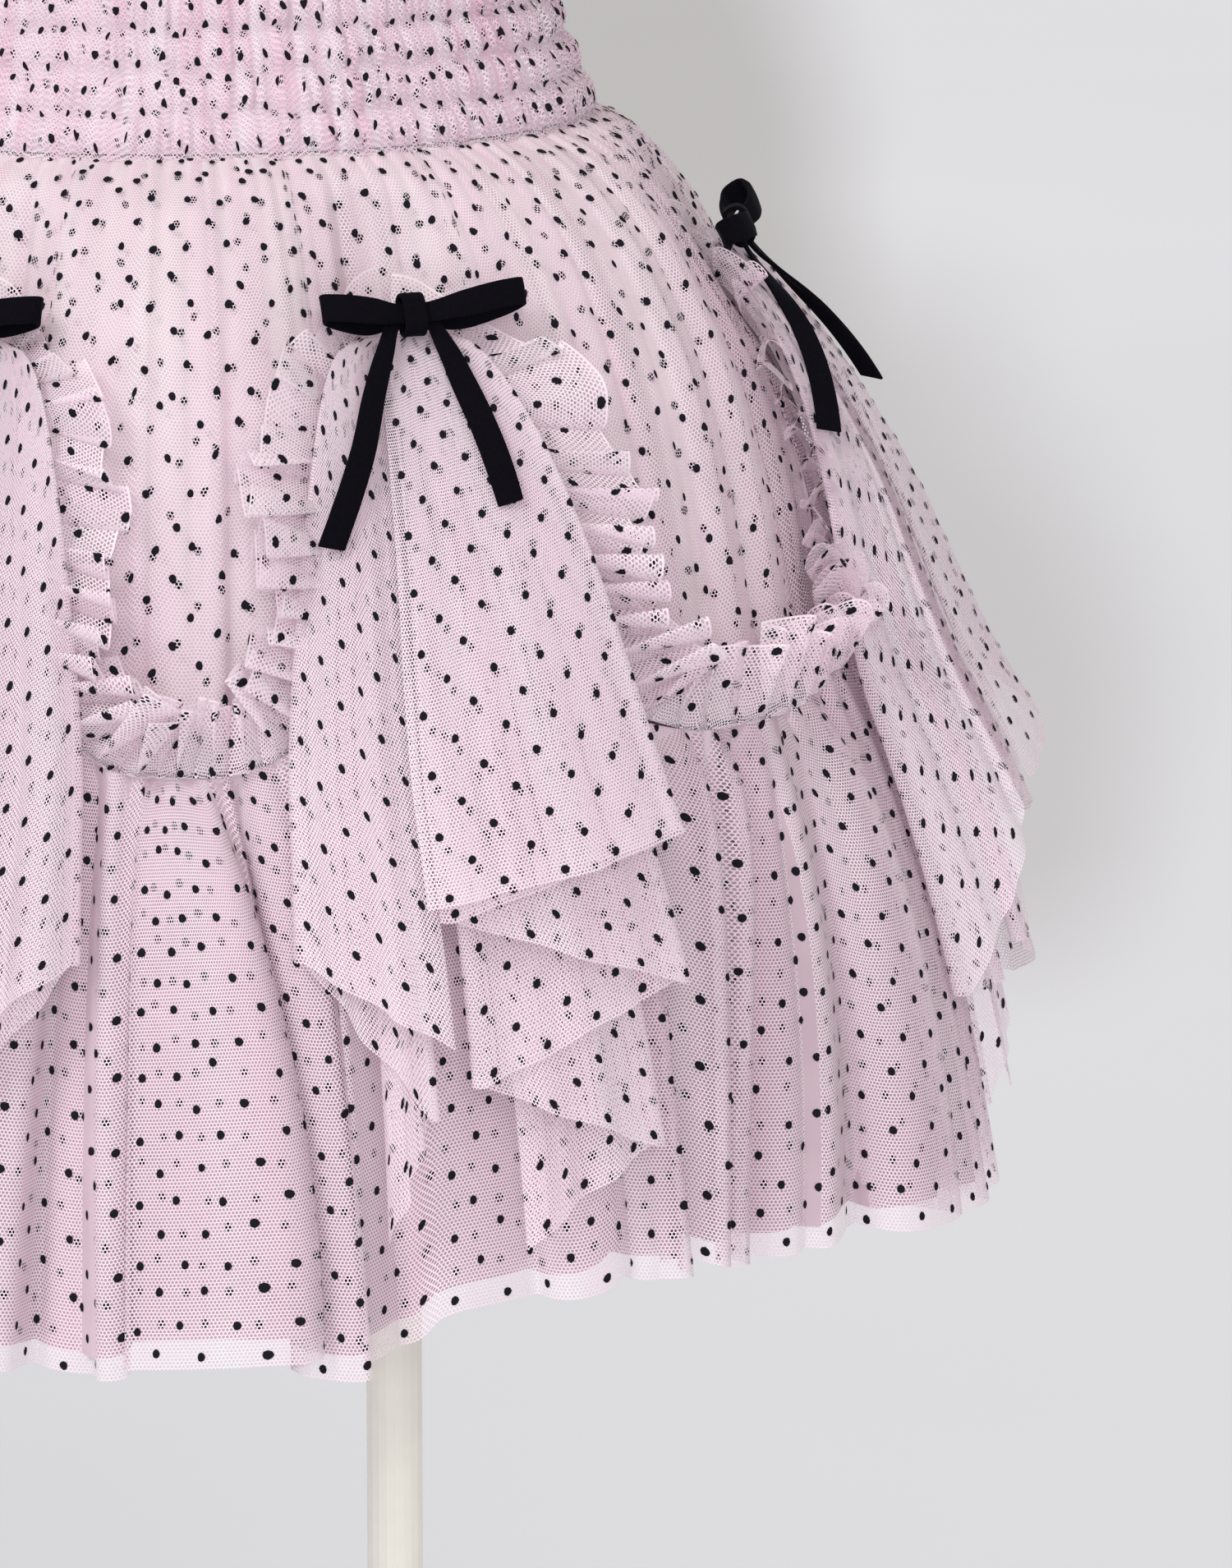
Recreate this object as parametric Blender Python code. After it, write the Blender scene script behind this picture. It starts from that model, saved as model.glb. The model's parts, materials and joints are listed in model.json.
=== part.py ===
"""A tulle mini skirt worn by a limbless display form on a pole and a round base.

The skirt is built as it is sewn. A shirred waistband holds a satin lining and an upper tier of gathered tulle.
The upper tier ends in a seam that hangs in a scallop between bows and climbs in an arch behind each bow. The flounce
is gathered onto that seam, with a ruffled heading that stands over it. Below each bow the flounce's spare cloth
falls in two folded cascades. Each of the six velvet bows has loops, a knot and tails.

Metres, +Z up, the front faces -Y and the wearer's left is +X. The origin is the middle of the base's underside.
Angles run round the skirt from the centre front towards the wearer's left. A drop is a depth below the waist seam,
and a spread is how far the cloth stands out from the waist's oval there.
"""

import math
from collections import namedtuple

import bpy
import numpy as np
from mathutils import Matrix

# Waist seam and waistband
SEAM_HEIGHT = 0.970
WAIST_HALF_WIDTH = 0.1380
WAIST_HALF_DEPTH = 0.1035
BAND_ROWS = 6
BAND_ROW_HEIGHT = 0.0128
BAND_TAPER = (-0.0010, -0.0070, -0.0120, -0.0165, -0.0200, -0.0220, -0.0230)
BAND_PUFF = 0.0030
BAND_WALL = 0.0045
BAND_GATHERS = 32
BAND_GATHER_DEPTH = 0.0013
BAND_STITCH_SHARE = 0.25
BAND_GATHER_MEAN = 0.8
BAND_TWIST_CYCLES = 3

# Cloth
SEAM_GAP = 0.0003
TIER_SEAM_GAP = 0.0010
TIER_TOP = 0.0009
LAYER_WALL = 0.0010
TIER_WALL = 0.0012
GATHERS = 42
FINE_FOLD = 0.0010
SEAM_FOLD = 0.0024
HEM_FOLD = 0.0075
HEM_SWING = 0.0060
SWINGS = 12
LINING_DROP = 0.338
LINING_RIPPLES = 12
LINING_RIPPLE_DEPTH = 0.0035
LINING_DROPS = (SEAM_GAP, 0.060, 0.120, LINING_DROP)
LINING_POINTS_PER_RIPPLE = 4
TIER_SHARES = (0.0, 0.07, 0.20, 0.50, 1.0)
FLOUNCE_SHARES = (0.0, 0.16, 0.50, 1.0)

# Slow waves that make the gathers uneven: height, cycles round the skirt and phase
GATHER_MEAN = 0.78
GATHER_SWELL = ((0.22, 7, 1.0),)
GATHER_DRIFT = ((1.1, 5, 0.6), (0.5, 11, 0.0))
SWING_DRIFT = ((2.0, 3, 0.0),)
LINING_DRIFT = ((1.0, 3, 0.0),)
BAND_GATHER_SWELL = ((0.2, 9, 0.0),)

# Scalloped seam
SCALLOP_DROP = 0.186
SCALLOP_ROUNDNESS = 3.2
ARCH_HALF_ANGLE = math.radians(9.5)
ARCH_SHOULDER = 0.030
COLUMNS_PER_SCALLOP = 20
COLUMNS_PER_ARCH = 4
SIDE_CROWDING = 0.12
STEEPNESS_MARGIN = 2
SEAM_ROUTE_POINTS = 600

# Ruffled heading over the seam
HEADING_WIDTH = 0.019
HEADING_WAVES = 8
HEADING_SEGMENTS_PER_WAVE = 3
HEADING_CLEARANCE = 0.0038
HEADING_WAVE_DEPTH = 0.0024
HEADING_START = 0.0010
HEADING_WAVE_PHASE = 0.5
HEADING_WAVE_AT_FOOT = 0.35
HEADING_UNEVENNESS = 0.10
HEADING_UNEVEN_STEP = 1.7

# Velvet bows
RIBBON_WALL = 0.0012
KNOT_WIDTH = 0.0075
BOW_STANDOFF = 0.0215
BOW_DIMPLE = 0.020
BOW_DIMPLE_REACH = 0.034
BOW_CALM_REACH = 0.014
BOW_LEAN = math.radians(24)

# Display form
FORM_SEGMENTS = 48
FORM_CLEARANCE = 0.0006
POLE_DIAMETER = 0.019
POLE_X = 0.0695
BASE_DIAMETER = 0.360
BASE_THICKNESS = 0.008
COLLAR_DIAMETER = 0.040
COLLAR_HEIGHT = 0.020
SOCKET_DIAMETER = 0.034
SOCKET_HEIGHT = 0.018
BASE_BEVEL = 0.002
BASE_SEGMENTS = 48
POLE_SEGMENTS = 20
SHARP_EDGE = math.radians(35)

Row = namedtuple("Row", "drop spread")
SKIRT_PROFILE = (
    Row(0.000, -0.0030),
    Row(0.006, 0.0115),
    Row(0.014, 0.0230),
    Row(0.030, 0.0385),
    Row(0.050, 0.0505),
    Row(0.075, 0.0620),
    Row(0.114, 0.0730),
    Row(0.160, 0.0820),
    Row(0.186, 0.0885),
    Row(0.205, 0.0955),
    Row(0.240, 0.1070),
    Row(0.294, 0.1210),
    Row(0.370, 0.1340),
)
LINING_PROFILE = (
    Row(0.000, -0.0035),
    Row(0.030, 0.0100),
    Row(0.060, 0.0190),
    Row(0.120, 0.0340),
    Row(0.180, 0.0460),
    Row(0.338, 0.0840),
)

# The hem hangs lowest at the centre front and back, and is the same on both sides.
Hem = namedtuple("Hem", "degrees drop")
HEM_PROFILE = (
    Hem(0, 0.3660),
    Hem(9, 0.3705),
    Hem(14, 0.3660),
    Hem(19, 0.3550),
    Hem(30, 0.3510),
    Hem(38, 0.3480),
    Hem(50, 0.3520),
    Hem(66, 0.3530),
    Hem(86, 0.3580),
    Hem(115, 0.3550),
    Hem(150, 0.3500),
    Hem(166, 0.3640),
    Hem(180, 0.3670),
)

Section = namedtuple("Section", "rise half_width half_depth")
HIP_SECTIONS = (
    Section(-0.220, 0.1460, 0.1080),
    Section(-0.213, 0.1520, 0.1140),
    Section(-0.160, 0.1600, 0.1220),
    Section(-0.110, 0.1625, 0.1255),
    Section(-0.060, 0.1530, 0.1165),
    Section(-0.025, 0.1420, 0.1070),
)
CAP_SECTIONS = (
    Section(0.096, 0.1060, 0.0715),
    Section(0.106, 0.0970, 0.0630),
    Section(0.111, 0.0770, 0.0460),
)

# Sway is how far a bow's tails swing towards the centre front for each metre that they hang, on each hand.
Station = namedtuple("Station", "name degrees drop sway_left sway_right")
BOW_STATIONS = (
    Station("front", 22.9, 0.0465, 0.20, 0.08),
    Station("side", 86.0, 0.0400, 0.05, 0.05),
    Station("back", 152.0, 0.0440, 0.05, 0.05),
)
Bow = namedtuple("Bow", "name angle drop sway side")
BOWS = sorted(
    (
        Bow(f"{station.name}_{hand}", side * math.radians(station.degrees), station.drop, sway, side)
        for station in BOW_STATIONS
        for hand, side, sway in (("left", 1, station.sway_left), ("right", -1, station.sway_right))
    ),
    key=lambda bow: bow.angle,
)

# One row for each place where a cascade's cloth turns back, from the front layer inwards. Across is measured
# sideways from the bow, and out is how far the turn stands off the skirt, both at the pinched top and at the hem.
Turn = namedtuple("Turn", "across_top across_hem out_top out_hem hem_drop")
OUTER_CASCADE = (
    Turn(-0.0030, -0.031, 0.0160, 0.050, 0.219),
    Turn(0.0120, 0.045, 0.0144, 0.045, 0.204),
    Turn(0.0000, -0.023, 0.0130, 0.040, 0.225),
    Turn(0.0120, 0.047, 0.0118, 0.034, 0.252),
    Turn(0.0020, -0.016, 0.0106, 0.027, 0.279),
    Turn(0.0115, 0.041, 0.0092, 0.021, 0.305),
    Turn(0.0040, -0.001, 0.0026, 0.013, 0.335),
)
INNER_CASCADE = (
    Turn(-0.0060, -0.026, 0.0140, 0.040, 0.264),
    Turn(-0.0150, -0.062, 0.0126, 0.016, 0.240),
    Turn(-0.0070, -0.030, 0.0106, 0.019, 0.290),
    Turn(-0.0120, -0.044, 0.0070, 0.011, 0.330),
)
# A side bow's inner cascade fans out further, and is what shows from the front.
SIDE_INNER_CASCADE = (
    Turn(-0.0080, -0.040, 0.0150, 0.048, 0.226),
    Turn(-0.0150, -0.062, 0.0126, 0.016, 0.287),
    Turn(-0.0070, -0.030, 0.0106, 0.019, 0.290),
    Turn(-0.0120, -0.044, 0.0070, 0.011, 0.330),
)
CASCADE_TOP = 0.0065
CASCADE_HAIRPIN = 0.0016
CASCADE_SPREADING = 0.37
CASCADE_SHARES = (0.0, 0.08, 0.25, 0.55, 1.0)

# Ribbon paths: across from the knot, out, up, and the ribbon's width there. The loops' stops are in the bow's own
# frame. The tails' are on the skirt, and their out is measured from the skirt's plain surface. A side bow's tail
# lies closer, over the inner cascade, and the front right bow's hangs straight down.
Stop = namedtuple("Stop", "across out up width")
LOOP_STOPS = (
    Stop(0.0060, -0.0014, -0.0005, 0.0060),
    Stop(0.0160, -0.0030, -0.0005, 0.0085),
    Stop(0.0290, -0.0028, 0.0020, 0.0090),
    Stop(0.0375, 0.0000, 0.0045, 0.0090),
    Stop(0.0385, 0.0035, 0.0050, 0.0090),
    Stop(0.0320, 0.0070, 0.0040, 0.0090),
    Stop(0.0170, 0.0075, 0.0015, 0.0085),
    Stop(0.0050, 0.0034, 0.0002, 0.0065),
    Stop(-0.0050, 0.0034, 0.0002, 0.0065),
    Stop(-0.0140, 0.0070, 0.0008, 0.0085),
    Stop(-0.0250, 0.0065, 0.0026, 0.0090),
    Stop(-0.0300, 0.0035, 0.0036, 0.0090),
    Stop(-0.0290, 0.0000, 0.0034, 0.0090),
    Stop(-0.0220, -0.0028, 0.0014, 0.0090),
    Stop(-0.0130, -0.0030, -0.0005, 0.0085),
    Stop(-0.0060, -0.0014, -0.0005, 0.0060),
)
KNOT_PATH = (
    (-0.0012, 0.0014),
    (-0.0012, 0.0046),
    (-0.0004, 0.0058),
    (0.0043, 0.0058),
    (0.0054, 0.0044),
    (0.0057, 0.0000),
    (0.0054, -0.0044),
    (0.0043, -0.0058),
    (-0.0004, -0.0058),
    (-0.0012, -0.0046),
    (-0.0012, -0.0014),
)
TAIL_STOPS = (
    Stop(-0.0270, 0.0225, -0.0660, 0.0080),
    Stop(-0.0235, 0.0240, -0.0520, 0.0080),
    Stop(-0.0195, 0.0248, -0.0370, 0.0078),
    Stop(-0.0150, 0.0228, -0.0220, 0.0074),
    Stop(-0.0100, 0.0218, -0.0105, 0.0062),
    Stop(-0.0050, 0.0223, -0.0010, 0.0040),
    Stop(0.0050, 0.0223, -0.0010, 0.0040),
    Stop(0.0110, 0.0218, -0.0095, 0.0064),
    Stop(0.0150, 0.0236, -0.0200, 0.0080),
    Stop(0.0195, 0.0262, -0.0330, 0.0084),
    Stop(0.0230, 0.0284, -0.0450, 0.0084),
    Stop(0.0255, 0.0302, -0.0550, 0.0080),
)
FRONT_RIGHT_TAIL_STOPS = (
    Stop(-0.0130, 0.0306, -0.0600, 0.0080),
    Stop(-0.0125, 0.0290, -0.0480, 0.0080),
    Stop(-0.0115, 0.0268, -0.0350, 0.0078),
    Stop(-0.0100, 0.0242, -0.0220, 0.0074),
    Stop(-0.0080, 0.0224, -0.0105, 0.0062),
    *TAIL_STOPS[5:],
)
SIDE_TAIL_STOPS = (
    Stop(-0.0400, 0.0176, -0.0600, 0.0080),
    Stop(-0.0330, 0.0190, -0.0450, 0.0080),
    Stop(-0.0255, 0.0205, -0.0310, 0.0078),
    Stop(-0.0175, 0.0214, -0.0190, 0.0074),
    Stop(-0.0105, 0.0216, -0.0100, 0.0062),
    *TAIL_STOPS[5:],
)
TAILS_BY_BOW = {
    "front_right": FRONT_RIGHT_TAIL_STOPS,
    "side_left": SIDE_TAIL_STOPS,
    "side_right": SIDE_TAIL_STOPS,
}


def smooth(rows, at):
    """The second column of a table at a value of the first, along a smooth curve through the rows."""
    xs, ys = np.array([row[0] for row in rows]), np.array([row[1] for row in rows])
    slopes = np.gradient(ys, xs)
    at = np.clip(at, xs[0], xs[-1])
    k = np.clip(np.searchsorted(xs, at) - 1, 0, len(xs) - 2)
    width = xs[k + 1] - xs[k]
    t = (at - xs[k]) / width
    rise = ys[k + 1] - ys[k]
    return ys[k] + t * (
        width * slopes[k] + t * (3 * rise - width * (2 * slopes[k] + slopes[k + 1]))
        + t * t * (width * (slopes[k] + slopes[k + 1]) - 2 * rise)
    )


def oval(angle, spread, height):
    """A point on the waist's oval grown by spread, at a height."""
    return np.stack(
        [
            (WAIST_HALF_WIDTH + spread) * np.sin(angle),
            -(WAIST_HALF_DEPTH + spread) * np.cos(angle),
            height + 0 * angle,
        ],
        axis=-1,
    )


def metres_per_radian(angle, spread):
    """How far one radian of angle reaches along the oval."""
    return math.hypot(
        (WAIST_HALF_WIDTH + spread) * math.cos(angle),
        (WAIST_HALF_DEPTH + spread) * math.sin(angle),
    )


BOW_ARCS = {bow.name: metres_per_radian(bow.angle, smooth(SKIRT_PROFILE, bow.drop)) for bow in BOWS}


def arc_from(bow, angle):
    """How far round the skirt an angle is from a bow, in metres."""
    return (np.mod(angle - bow.angle + math.pi, math.tau) - math.pi) * BOW_ARCS[bow.name]


def skirt_point(angle, drop, out=0.0):
    """A point that stands out from the skirt's plain surface, which each bow pulls in."""
    angle, drop = np.asarray(angle, float), np.asarray(drop, float)
    spread = smooth(SKIRT_PROFILE, drop) + out
    for bow in BOWS:
        depth = (drop / bow.drop * np.exp(1 - drop / bow.drop)) ** 2
        spread = spread - BOW_DIMPLE * depth * np.exp(-((arc_from(bow, angle) / BOW_DIMPLE_REACH) ** 2))
    return oval(angle, spread, SEAM_HEIGHT - drop)


def nearest_bow(angle):
    """The bow nearest to an angle, and how far round from it the angle is."""
    offsets = [math.remainder(angle - bow.angle, math.tau) for bow in BOWS]
    k = min(range(len(BOWS)), key=lambda i: abs(offsets[i]))
    return BOWS[k], offsets[k]


def scallops():
    """Each pair of neighbouring bows, with the angles where the scallop between them starts and ends."""
    for k, bow in enumerate(BOWS):
        after = BOWS[(k + 1) % len(BOWS)]
        end = after.angle + (math.tau if k + 1 == len(BOWS) else 0.0)
        yield bow, after, bow.angle + ARCH_HALF_ANGLE, end - ARCH_HALF_ANGLE


def seam_drop(angle):
    """The drop of the scalloped seam: an arch behind each bow, and a rounded scallop between bows."""
    bow, offset = nearest_bow(angle)
    share = abs(offset) / ARCH_HALF_ANGLE
    if share <= 1:
        return bow.drop + ARCH_SHOULDER * share**2
    for first, after, start, end in scallops():
        turn = (angle - start) % math.tau
        if turn <= end - start:
            across = abs(2 * turn / (end - start) - 1)
            shoulder = (first.drop + (after.drop - first.drop) * turn / (end - start)) + ARCH_SHOULDER
            bulge = (1 - across**SCALLOP_ROUNDNESS) ** (1 / SCALLOP_ROUNDNESS)
            return shoulder + (SCALLOP_DROP - shoulder) * bulge
    raise ValueError("every angle lies in an arch or a scallop")


def hem_drop(angles):
    """The drop of the flounce's hem."""
    return smooth(HEM_PROFILE, np.abs(np.degrees(np.mod(angles + math.pi, math.tau) - math.pi)))


def skirt_columns():
    """The angles of the skirt's columns of points, closer together beside the arches, where the seam is steep."""
    angles = []
    for bow, _, start, end in scallops():
        for k in range(COLUMNS_PER_ARCH):
            angles.append(bow.angle + ARCH_HALF_ANGLE * (2 * k / COLUMNS_PER_ARCH - 1))
        for k in range(COLUMNS_PER_SCALLOP):
            v = 2 * k / COLUMNS_PER_SCALLOP - 1
            share = (1 + v + SIDE_CROWDING * math.sin(math.pi * v)) / 2
            angles.append(start + (end - start) * share)
    return np.array(sorted(angles))


def waves(angle, terms):
    """The sum of some waves round the skirt."""
    return sum(height * np.sin(cycles * angle + phase) for height, cycles, phase in terms)


def gathering(angle):
    """The gathers as a wave from -1 to 1, uneven in width and depth."""
    return np.sin(GATHERS * angle + waves(angle, GATHER_DRIFT)) * (GATHER_MEAN + waves(angle, GATHER_SWELL))


def fold(angle, share_to_seam, share_to_hem):
    """How far the cloth swings in or out: fine at the waist, deeper at the seam, and deepest at the hem. The cloth
    lies flat where a bow is sewn on."""
    depth = FINE_FOLD + (SEAM_FOLD - FINE_FOLD) * share_to_seam + (HEM_FOLD - SEAM_FOLD) * share_to_hem
    for bow in BOWS:
        calm = share_to_seam * (1 - share_to_hem) * np.exp(-((arc_from(bow, angle) / BOW_CALM_REACH) ** 2))
        depth = depth * (1 - calm)
    swing = HEM_SWING * share_to_hem * np.sin(SWINGS * angle + waves(angle, SWING_DRIFT))
    return depth * gathering(angle) + swing


def add_object(name, mesh, material, parent, wall=None):
    """Links a mesh as a named object. With a wall it is a sheet, which Solidify turns into cloth of that thickness."""
    thing = bpy.data.objects.new(name, mesh)
    bpy.context.scene.collection.objects.link(thing)
    if not mesh.materials:
        mesh.materials.append(material)
    thing.parent = parent
    if wall is not None:
        solidify = thing.modifiers.new("wall", "SOLIDIFY")
        solidify.thickness = wall
        solidify.offset = 0.0
    return thing


def mesh_from(name, points, faces):
    """A smooth mesh from a list of points and faces."""
    mesh = bpy.data.meshes.new(name)
    mesh.from_pydata([tuple(p) for p in points], [], faces)
    mesh.shade_smooth()
    mesh.update()
    return mesh


def sheet_mesh(name, grid, closed=False):
    """A sheet from rows of points, closed round on itself where it is a tube."""
    rows, columns = grid.shape[:2]
    last = columns if closed else columns - 1
    faces = []
    for r in range(rows - 1):
        for c in range(last):
            after = (c + 1) % columns
            faces.append((r * columns + c, (r + 1) * columns + c, (r + 1) * columns + after, r * columns + after))
    return mesh_from(name, grid.reshape(-1, 3), faces)


def closed_rings(name, rings, join_ends):
    """A solid from rings of points: the last ring joins the first, or both ends are capped."""
    faces = []
    count = len(rings[0])
    pairs = list(zip(range(len(rings) - 1), range(1, len(rings))))
    if join_ends:
        pairs.append((len(rings) - 1, 0))
    for low, high in pairs:
        for c in range(count):
            after = (c + 1) % count
            faces.append((low * count + c, low * count + after, high * count + after, high * count + c))
    if not join_ends:
        faces.append(tuple(reversed(range(count))))
        faces.append(tuple(range((len(rings) - 1) * count, len(rings) * count)))
    return mesh_from(name, np.concatenate(rings), faces)


def band_inside(row):
    """The spread of the waistband's plain inner wall at a stitched row line."""
    return BAND_TAPER[row] - BAND_WALL


def build_waistband(material, parent):
    """Rows of puffed, gathered casing over a plain inner wall."""
    columns = 2 * BAND_GATHERS
    angles = np.arange(columns) * math.tau / columns
    gather = np.where(np.arange(columns) % 2, 1.0, -1.0) * (BAND_GATHER_MEAN + waves(angles, BAND_GATHER_SWELL))
    rings = []
    for row in range(BAND_ROWS):
        height = SEAM_HEIGHT + SEAM_GAP + row * BAND_ROW_HEIGHT
        stitched = BAND_TAPER[row] + BAND_STITCH_SHARE * BAND_GATHER_DEPTH * gather
        rings.append(oval(angles, stitched, height))
        middle = (BAND_TAPER[row] + BAND_TAPER[row + 1]) / 2 + BAND_PUFF
        wobble = BAND_GATHER_DEPTH * gather * np.cos(angles * BAND_TWIST_CYCLES + row)
        rings.append(oval(angles, middle + wobble, height + BAND_ROW_HEIGHT / 2))
    top = SEAM_HEIGHT + SEAM_GAP + BAND_ROWS * BAND_ROW_HEIGHT
    rings.append(oval(angles, BAND_TAPER[-1] + 0.0 * angles, top))
    for row in range(BAND_ROWS, -1, -2):
        height = SEAM_HEIGHT + SEAM_GAP + row * BAND_ROW_HEIGHT
        rings.append(oval(angles, band_inside(row) + 0.0 * angles, height))
    add_object("waistband", closed_rings("waistband", rings, join_ends=True), material, parent)


def build_lining(material, parent):
    """The satin underskirt, which shows through the tulle."""
    columns = LINING_POINTS_PER_RIPPLE * LINING_RIPPLES
    angles = np.arange(columns) * math.tau / columns
    swing = np.sin(LINING_RIPPLES * angles + waves(angles, LINING_DRIFT))
    rows = []
    for drop in LINING_DROPS:
        ripple = LINING_RIPPLE_DEPTH * (drop / LINING_DROP) * swing
        rows.append(oval(angles, smooth(LINING_PROFILE, drop) + ripple, SEAM_HEIGHT - drop))
    add_object("lining", sheet_mesh("lining", np.array(rows), closed=True), material, parent, LAYER_WALL)


def seam_gaps(angles, drops):
    """The vertical gap at each column that leaves TIER_SEAM_GAP square to the seam, however steep it is there."""
    ahead, behind = np.roll(angles, -1), np.roll(angles, 1)
    turn = np.mod(ahead - behind, math.tau)
    along = turn * (WAIST_HALF_WIDTH + smooth(SKIRT_PROFILE, drops))
    steepness = (np.roll(drops, -1) - np.roll(drops, 1)) / along
    return TIER_SEAM_GAP * np.sqrt(1 + (STEEPNESS_MARGIN * steepness) ** 2)


def build_tiers(material, parent):
    """The upper tier, down to the scalloped seam, and the flounce that is gathered onto it."""
    angles = skirt_columns()
    seam = np.array([seam_drop(a) for a in angles])
    gap = seam_gaps(angles, seam)
    upper = []
    for share in TIER_SHARES:
        drop = TIER_TOP + (seam - gap / 2 - TIER_TOP) * share
        upper.append(skirt_point(angles, drop, fold(angles, share, 0.0)))
    add_object("upper_tier", sheet_mesh("upper_tier", np.array(upper), closed=True), material, parent, TIER_WALL)

    hem = hem_drop(angles)
    flounce = []
    for share in FLOUNCE_SHARES:
        drop = seam + gap / 2 + (hem - seam - gap / 2) * share
        flounce.append(skirt_point(angles, drop, fold(angles, 1.0, share)))
    add_object("flounce", sheet_mesh("flounce", np.array(flounce), closed=True), material, parent, TIER_WALL)


def seam_route(start, end, count):
    """Evenly spaced points along the seam: angle, drop, and the direction in the cloth that points off the flounce."""
    fine = np.linspace(start, end, SEAM_ROUTE_POINTS)
    drops = np.array([seam_drop(a) for a in fine])
    spread = smooth(SKIRT_PROFILE, drops)
    scale = np.array([metres_per_radian(a, s) for a, s in zip(fine, spread)])
    step = np.hypot(np.diff(fine) * scale[1:], np.diff(drops))
    length = np.concatenate([[0.0], np.cumsum(step)])
    at = np.linspace(0.0, length[-1], count)
    angle, drop = np.interp(at, length, fine), np.interp(at, length, drops)
    along = np.interp(at, length, scale)
    across, down = np.gradient(angle) * along, np.gradient(drop)
    size = np.hypot(across, down)
    return angle, drop, along, down / size, -across / size


def build_headings(material, parent):
    """One ruffle for each scallop, from bow to bow, standing over the seam."""
    count = HEADING_WAVES * HEADING_SEGMENTS_PER_WAVE + 1
    for bow, after, start, end in scallops():
        first = start - ARCH_HALF_ANGLE + HEADING_START / metres_per_radian(bow.angle, smooth(SKIRT_PROFILE, bow.drop))
        last = end + ARCH_HALF_ANGLE - HEADING_START / metres_per_radian(after.angle, smooth(SKIRT_PROFILE, after.drop))
        angle, drop, along, aside, away = seam_route(first, last, count)
        steps = np.arange(count)
        wave = np.sin(steps * math.tau / HEADING_SEGMENTS_PER_WAVE + HEADING_WAVE_PHASE)
        rows = []
        for share in (0.0, 1.0):
            reach = HEADING_WIDTH * share * (1 + HEADING_UNEVENNESS * np.sin(steps * HEADING_UNEVEN_STEP))
            strength = HEADING_WAVE_AT_FOOT + (1 - HEADING_WAVE_AT_FOOT) * share
            out = HEADING_CLEARANCE + HEADING_WAVE_DEPTH * strength * (1 + wave)
            rows.append(skirt_point(angle + aside * reach / along, drop + away * reach, out))
        name = f"heading_{bow.name}_to_{after.name}"
        add_object(name, sheet_mesh(name, np.array(rows)), material, parent, LAYER_WALL)


def folded_path(turns, share):
    """Across, out and hem drop along a cascade's folded path, part of the way down. Each turn is a rounded hairpin."""
    spread = share**CASCADE_SPREADING
    places = [
        (
            turn.across_top + (turn.across_hem - turn.across_top) * spread,
            turn.out_top + (turn.out_hem - turn.out_top) * share,
            turn.hem_drop,
        )
        for turn in turns
    ]
    path = [places[0]]
    for before, (across, out, hem) in zip(places, places[1:-1]):
        inside = across - math.copysign(CASCADE_HAIRPIN, across - before[0])
        path.append((inside, out + CASCADE_HAIRPIN / 2, hem))
        path.append((across, out, hem))
        path.append((inside, out - CASCADE_HAIRPIN / 2, hem))
    path.append(places[-1])
    return np.array(path)


def beside_bow(bow, across, drop, out):
    """Points on the skirt, measured across from a bow, and mirrored for the bows on the wearer's right."""
    scale = np.array([metres_per_radian(bow.angle, s) for s in smooth(SKIRT_PROFILE, drop)])
    return skirt_point(bow.angle + bow.side * across / scale, drop, out)


def build_cascades(material, parent):
    """Beside each bow, the flounce's spare cloth falls in folds that open towards a stepped hem."""
    for bow in BOWS:
        inner = SIDE_INNER_CASCADE if bow.name.startswith("side") else INNER_CASCADE
        for label, turns in (("outer", OUTER_CASCADE), ("inner", inner)):
            rows = []
            for share in CASCADE_SHARES:
                across, out, hem = folded_path(turns, share).T
                top = bow.drop + CASCADE_TOP
                rows.append(beside_bow(bow, across, top + (hem - top) * share, out))
            name = f"cascade_{label}_{bow.name}"
            add_object(name, sheet_mesh(name, np.array(rows)), material, parent, LAYER_WALL)


def stops_as_rows(stops):
    """The columns of a ribbon's stops."""
    return np.array(stops).T


def tails_mesh(name, bow):
    """One ribbon that lies over the cascade, up one side of the knot and down the other."""
    across, out, up, width = stops_as_rows(TAILS_BY_BOW.get(bow.name, TAIL_STOPS))
    ahead = np.stack([np.gradient(across), np.gradient(up)])
    side = np.stack([ahead[1], -ahead[0]]) / np.hypot(*ahead) * width / 2
    across = across + bow.sway * up
    edges = [
        beside_bow(bow, across + way * side[0], bow.drop - up - way * side[1], out) for way in (-1, 1)
    ]
    return sheet_mesh(name, np.array(edges))


def bow_frame(bow):
    """Turns points across, out and up from a bow's knot into points in space."""
    spread = smooth(SKIRT_PROFILE, bow.drop)
    square = math.atan2(
        (WAIST_HALF_DEPTH + spread) * math.sin(bow.angle), (WAIST_HALF_WIDTH + spread) * math.cos(bow.angle)
    )
    spot = skirt_point(bow.angle, bow.drop, BOW_STANDOFF)
    turn = np.array(Matrix.Rotation(square, 3, "Z") @ Matrix.Rotation(-BOW_LEAN, 3, "X"))
    return lambda across, out, up: spot + np.stack([bow.side * across, -out, up], axis=-1) @ turn.T


def loops_mesh(name, bow):
    """Both loops as one ribbon on edge, from behind the knot, out and back across its front, and behind it again."""
    across, out, up, width = stops_as_rows(LOOP_STOPS)
    place = bow_frame(bow)
    return sheet_mesh(name, np.array([place(across, out, up + way * width / 2) for way in (-1, 1)]))


def knot_mesh(name, bow):
    """The short length of ribbon that wraps the middle of the bow, open at the back."""
    out, up = np.array(KNOT_PATH).T
    place = bow_frame(bow)
    return sheet_mesh(name, np.array([place(way * KNOT_WIDTH / 2 + 0 * out, out, up) for way in (-1, 1)]))


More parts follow.
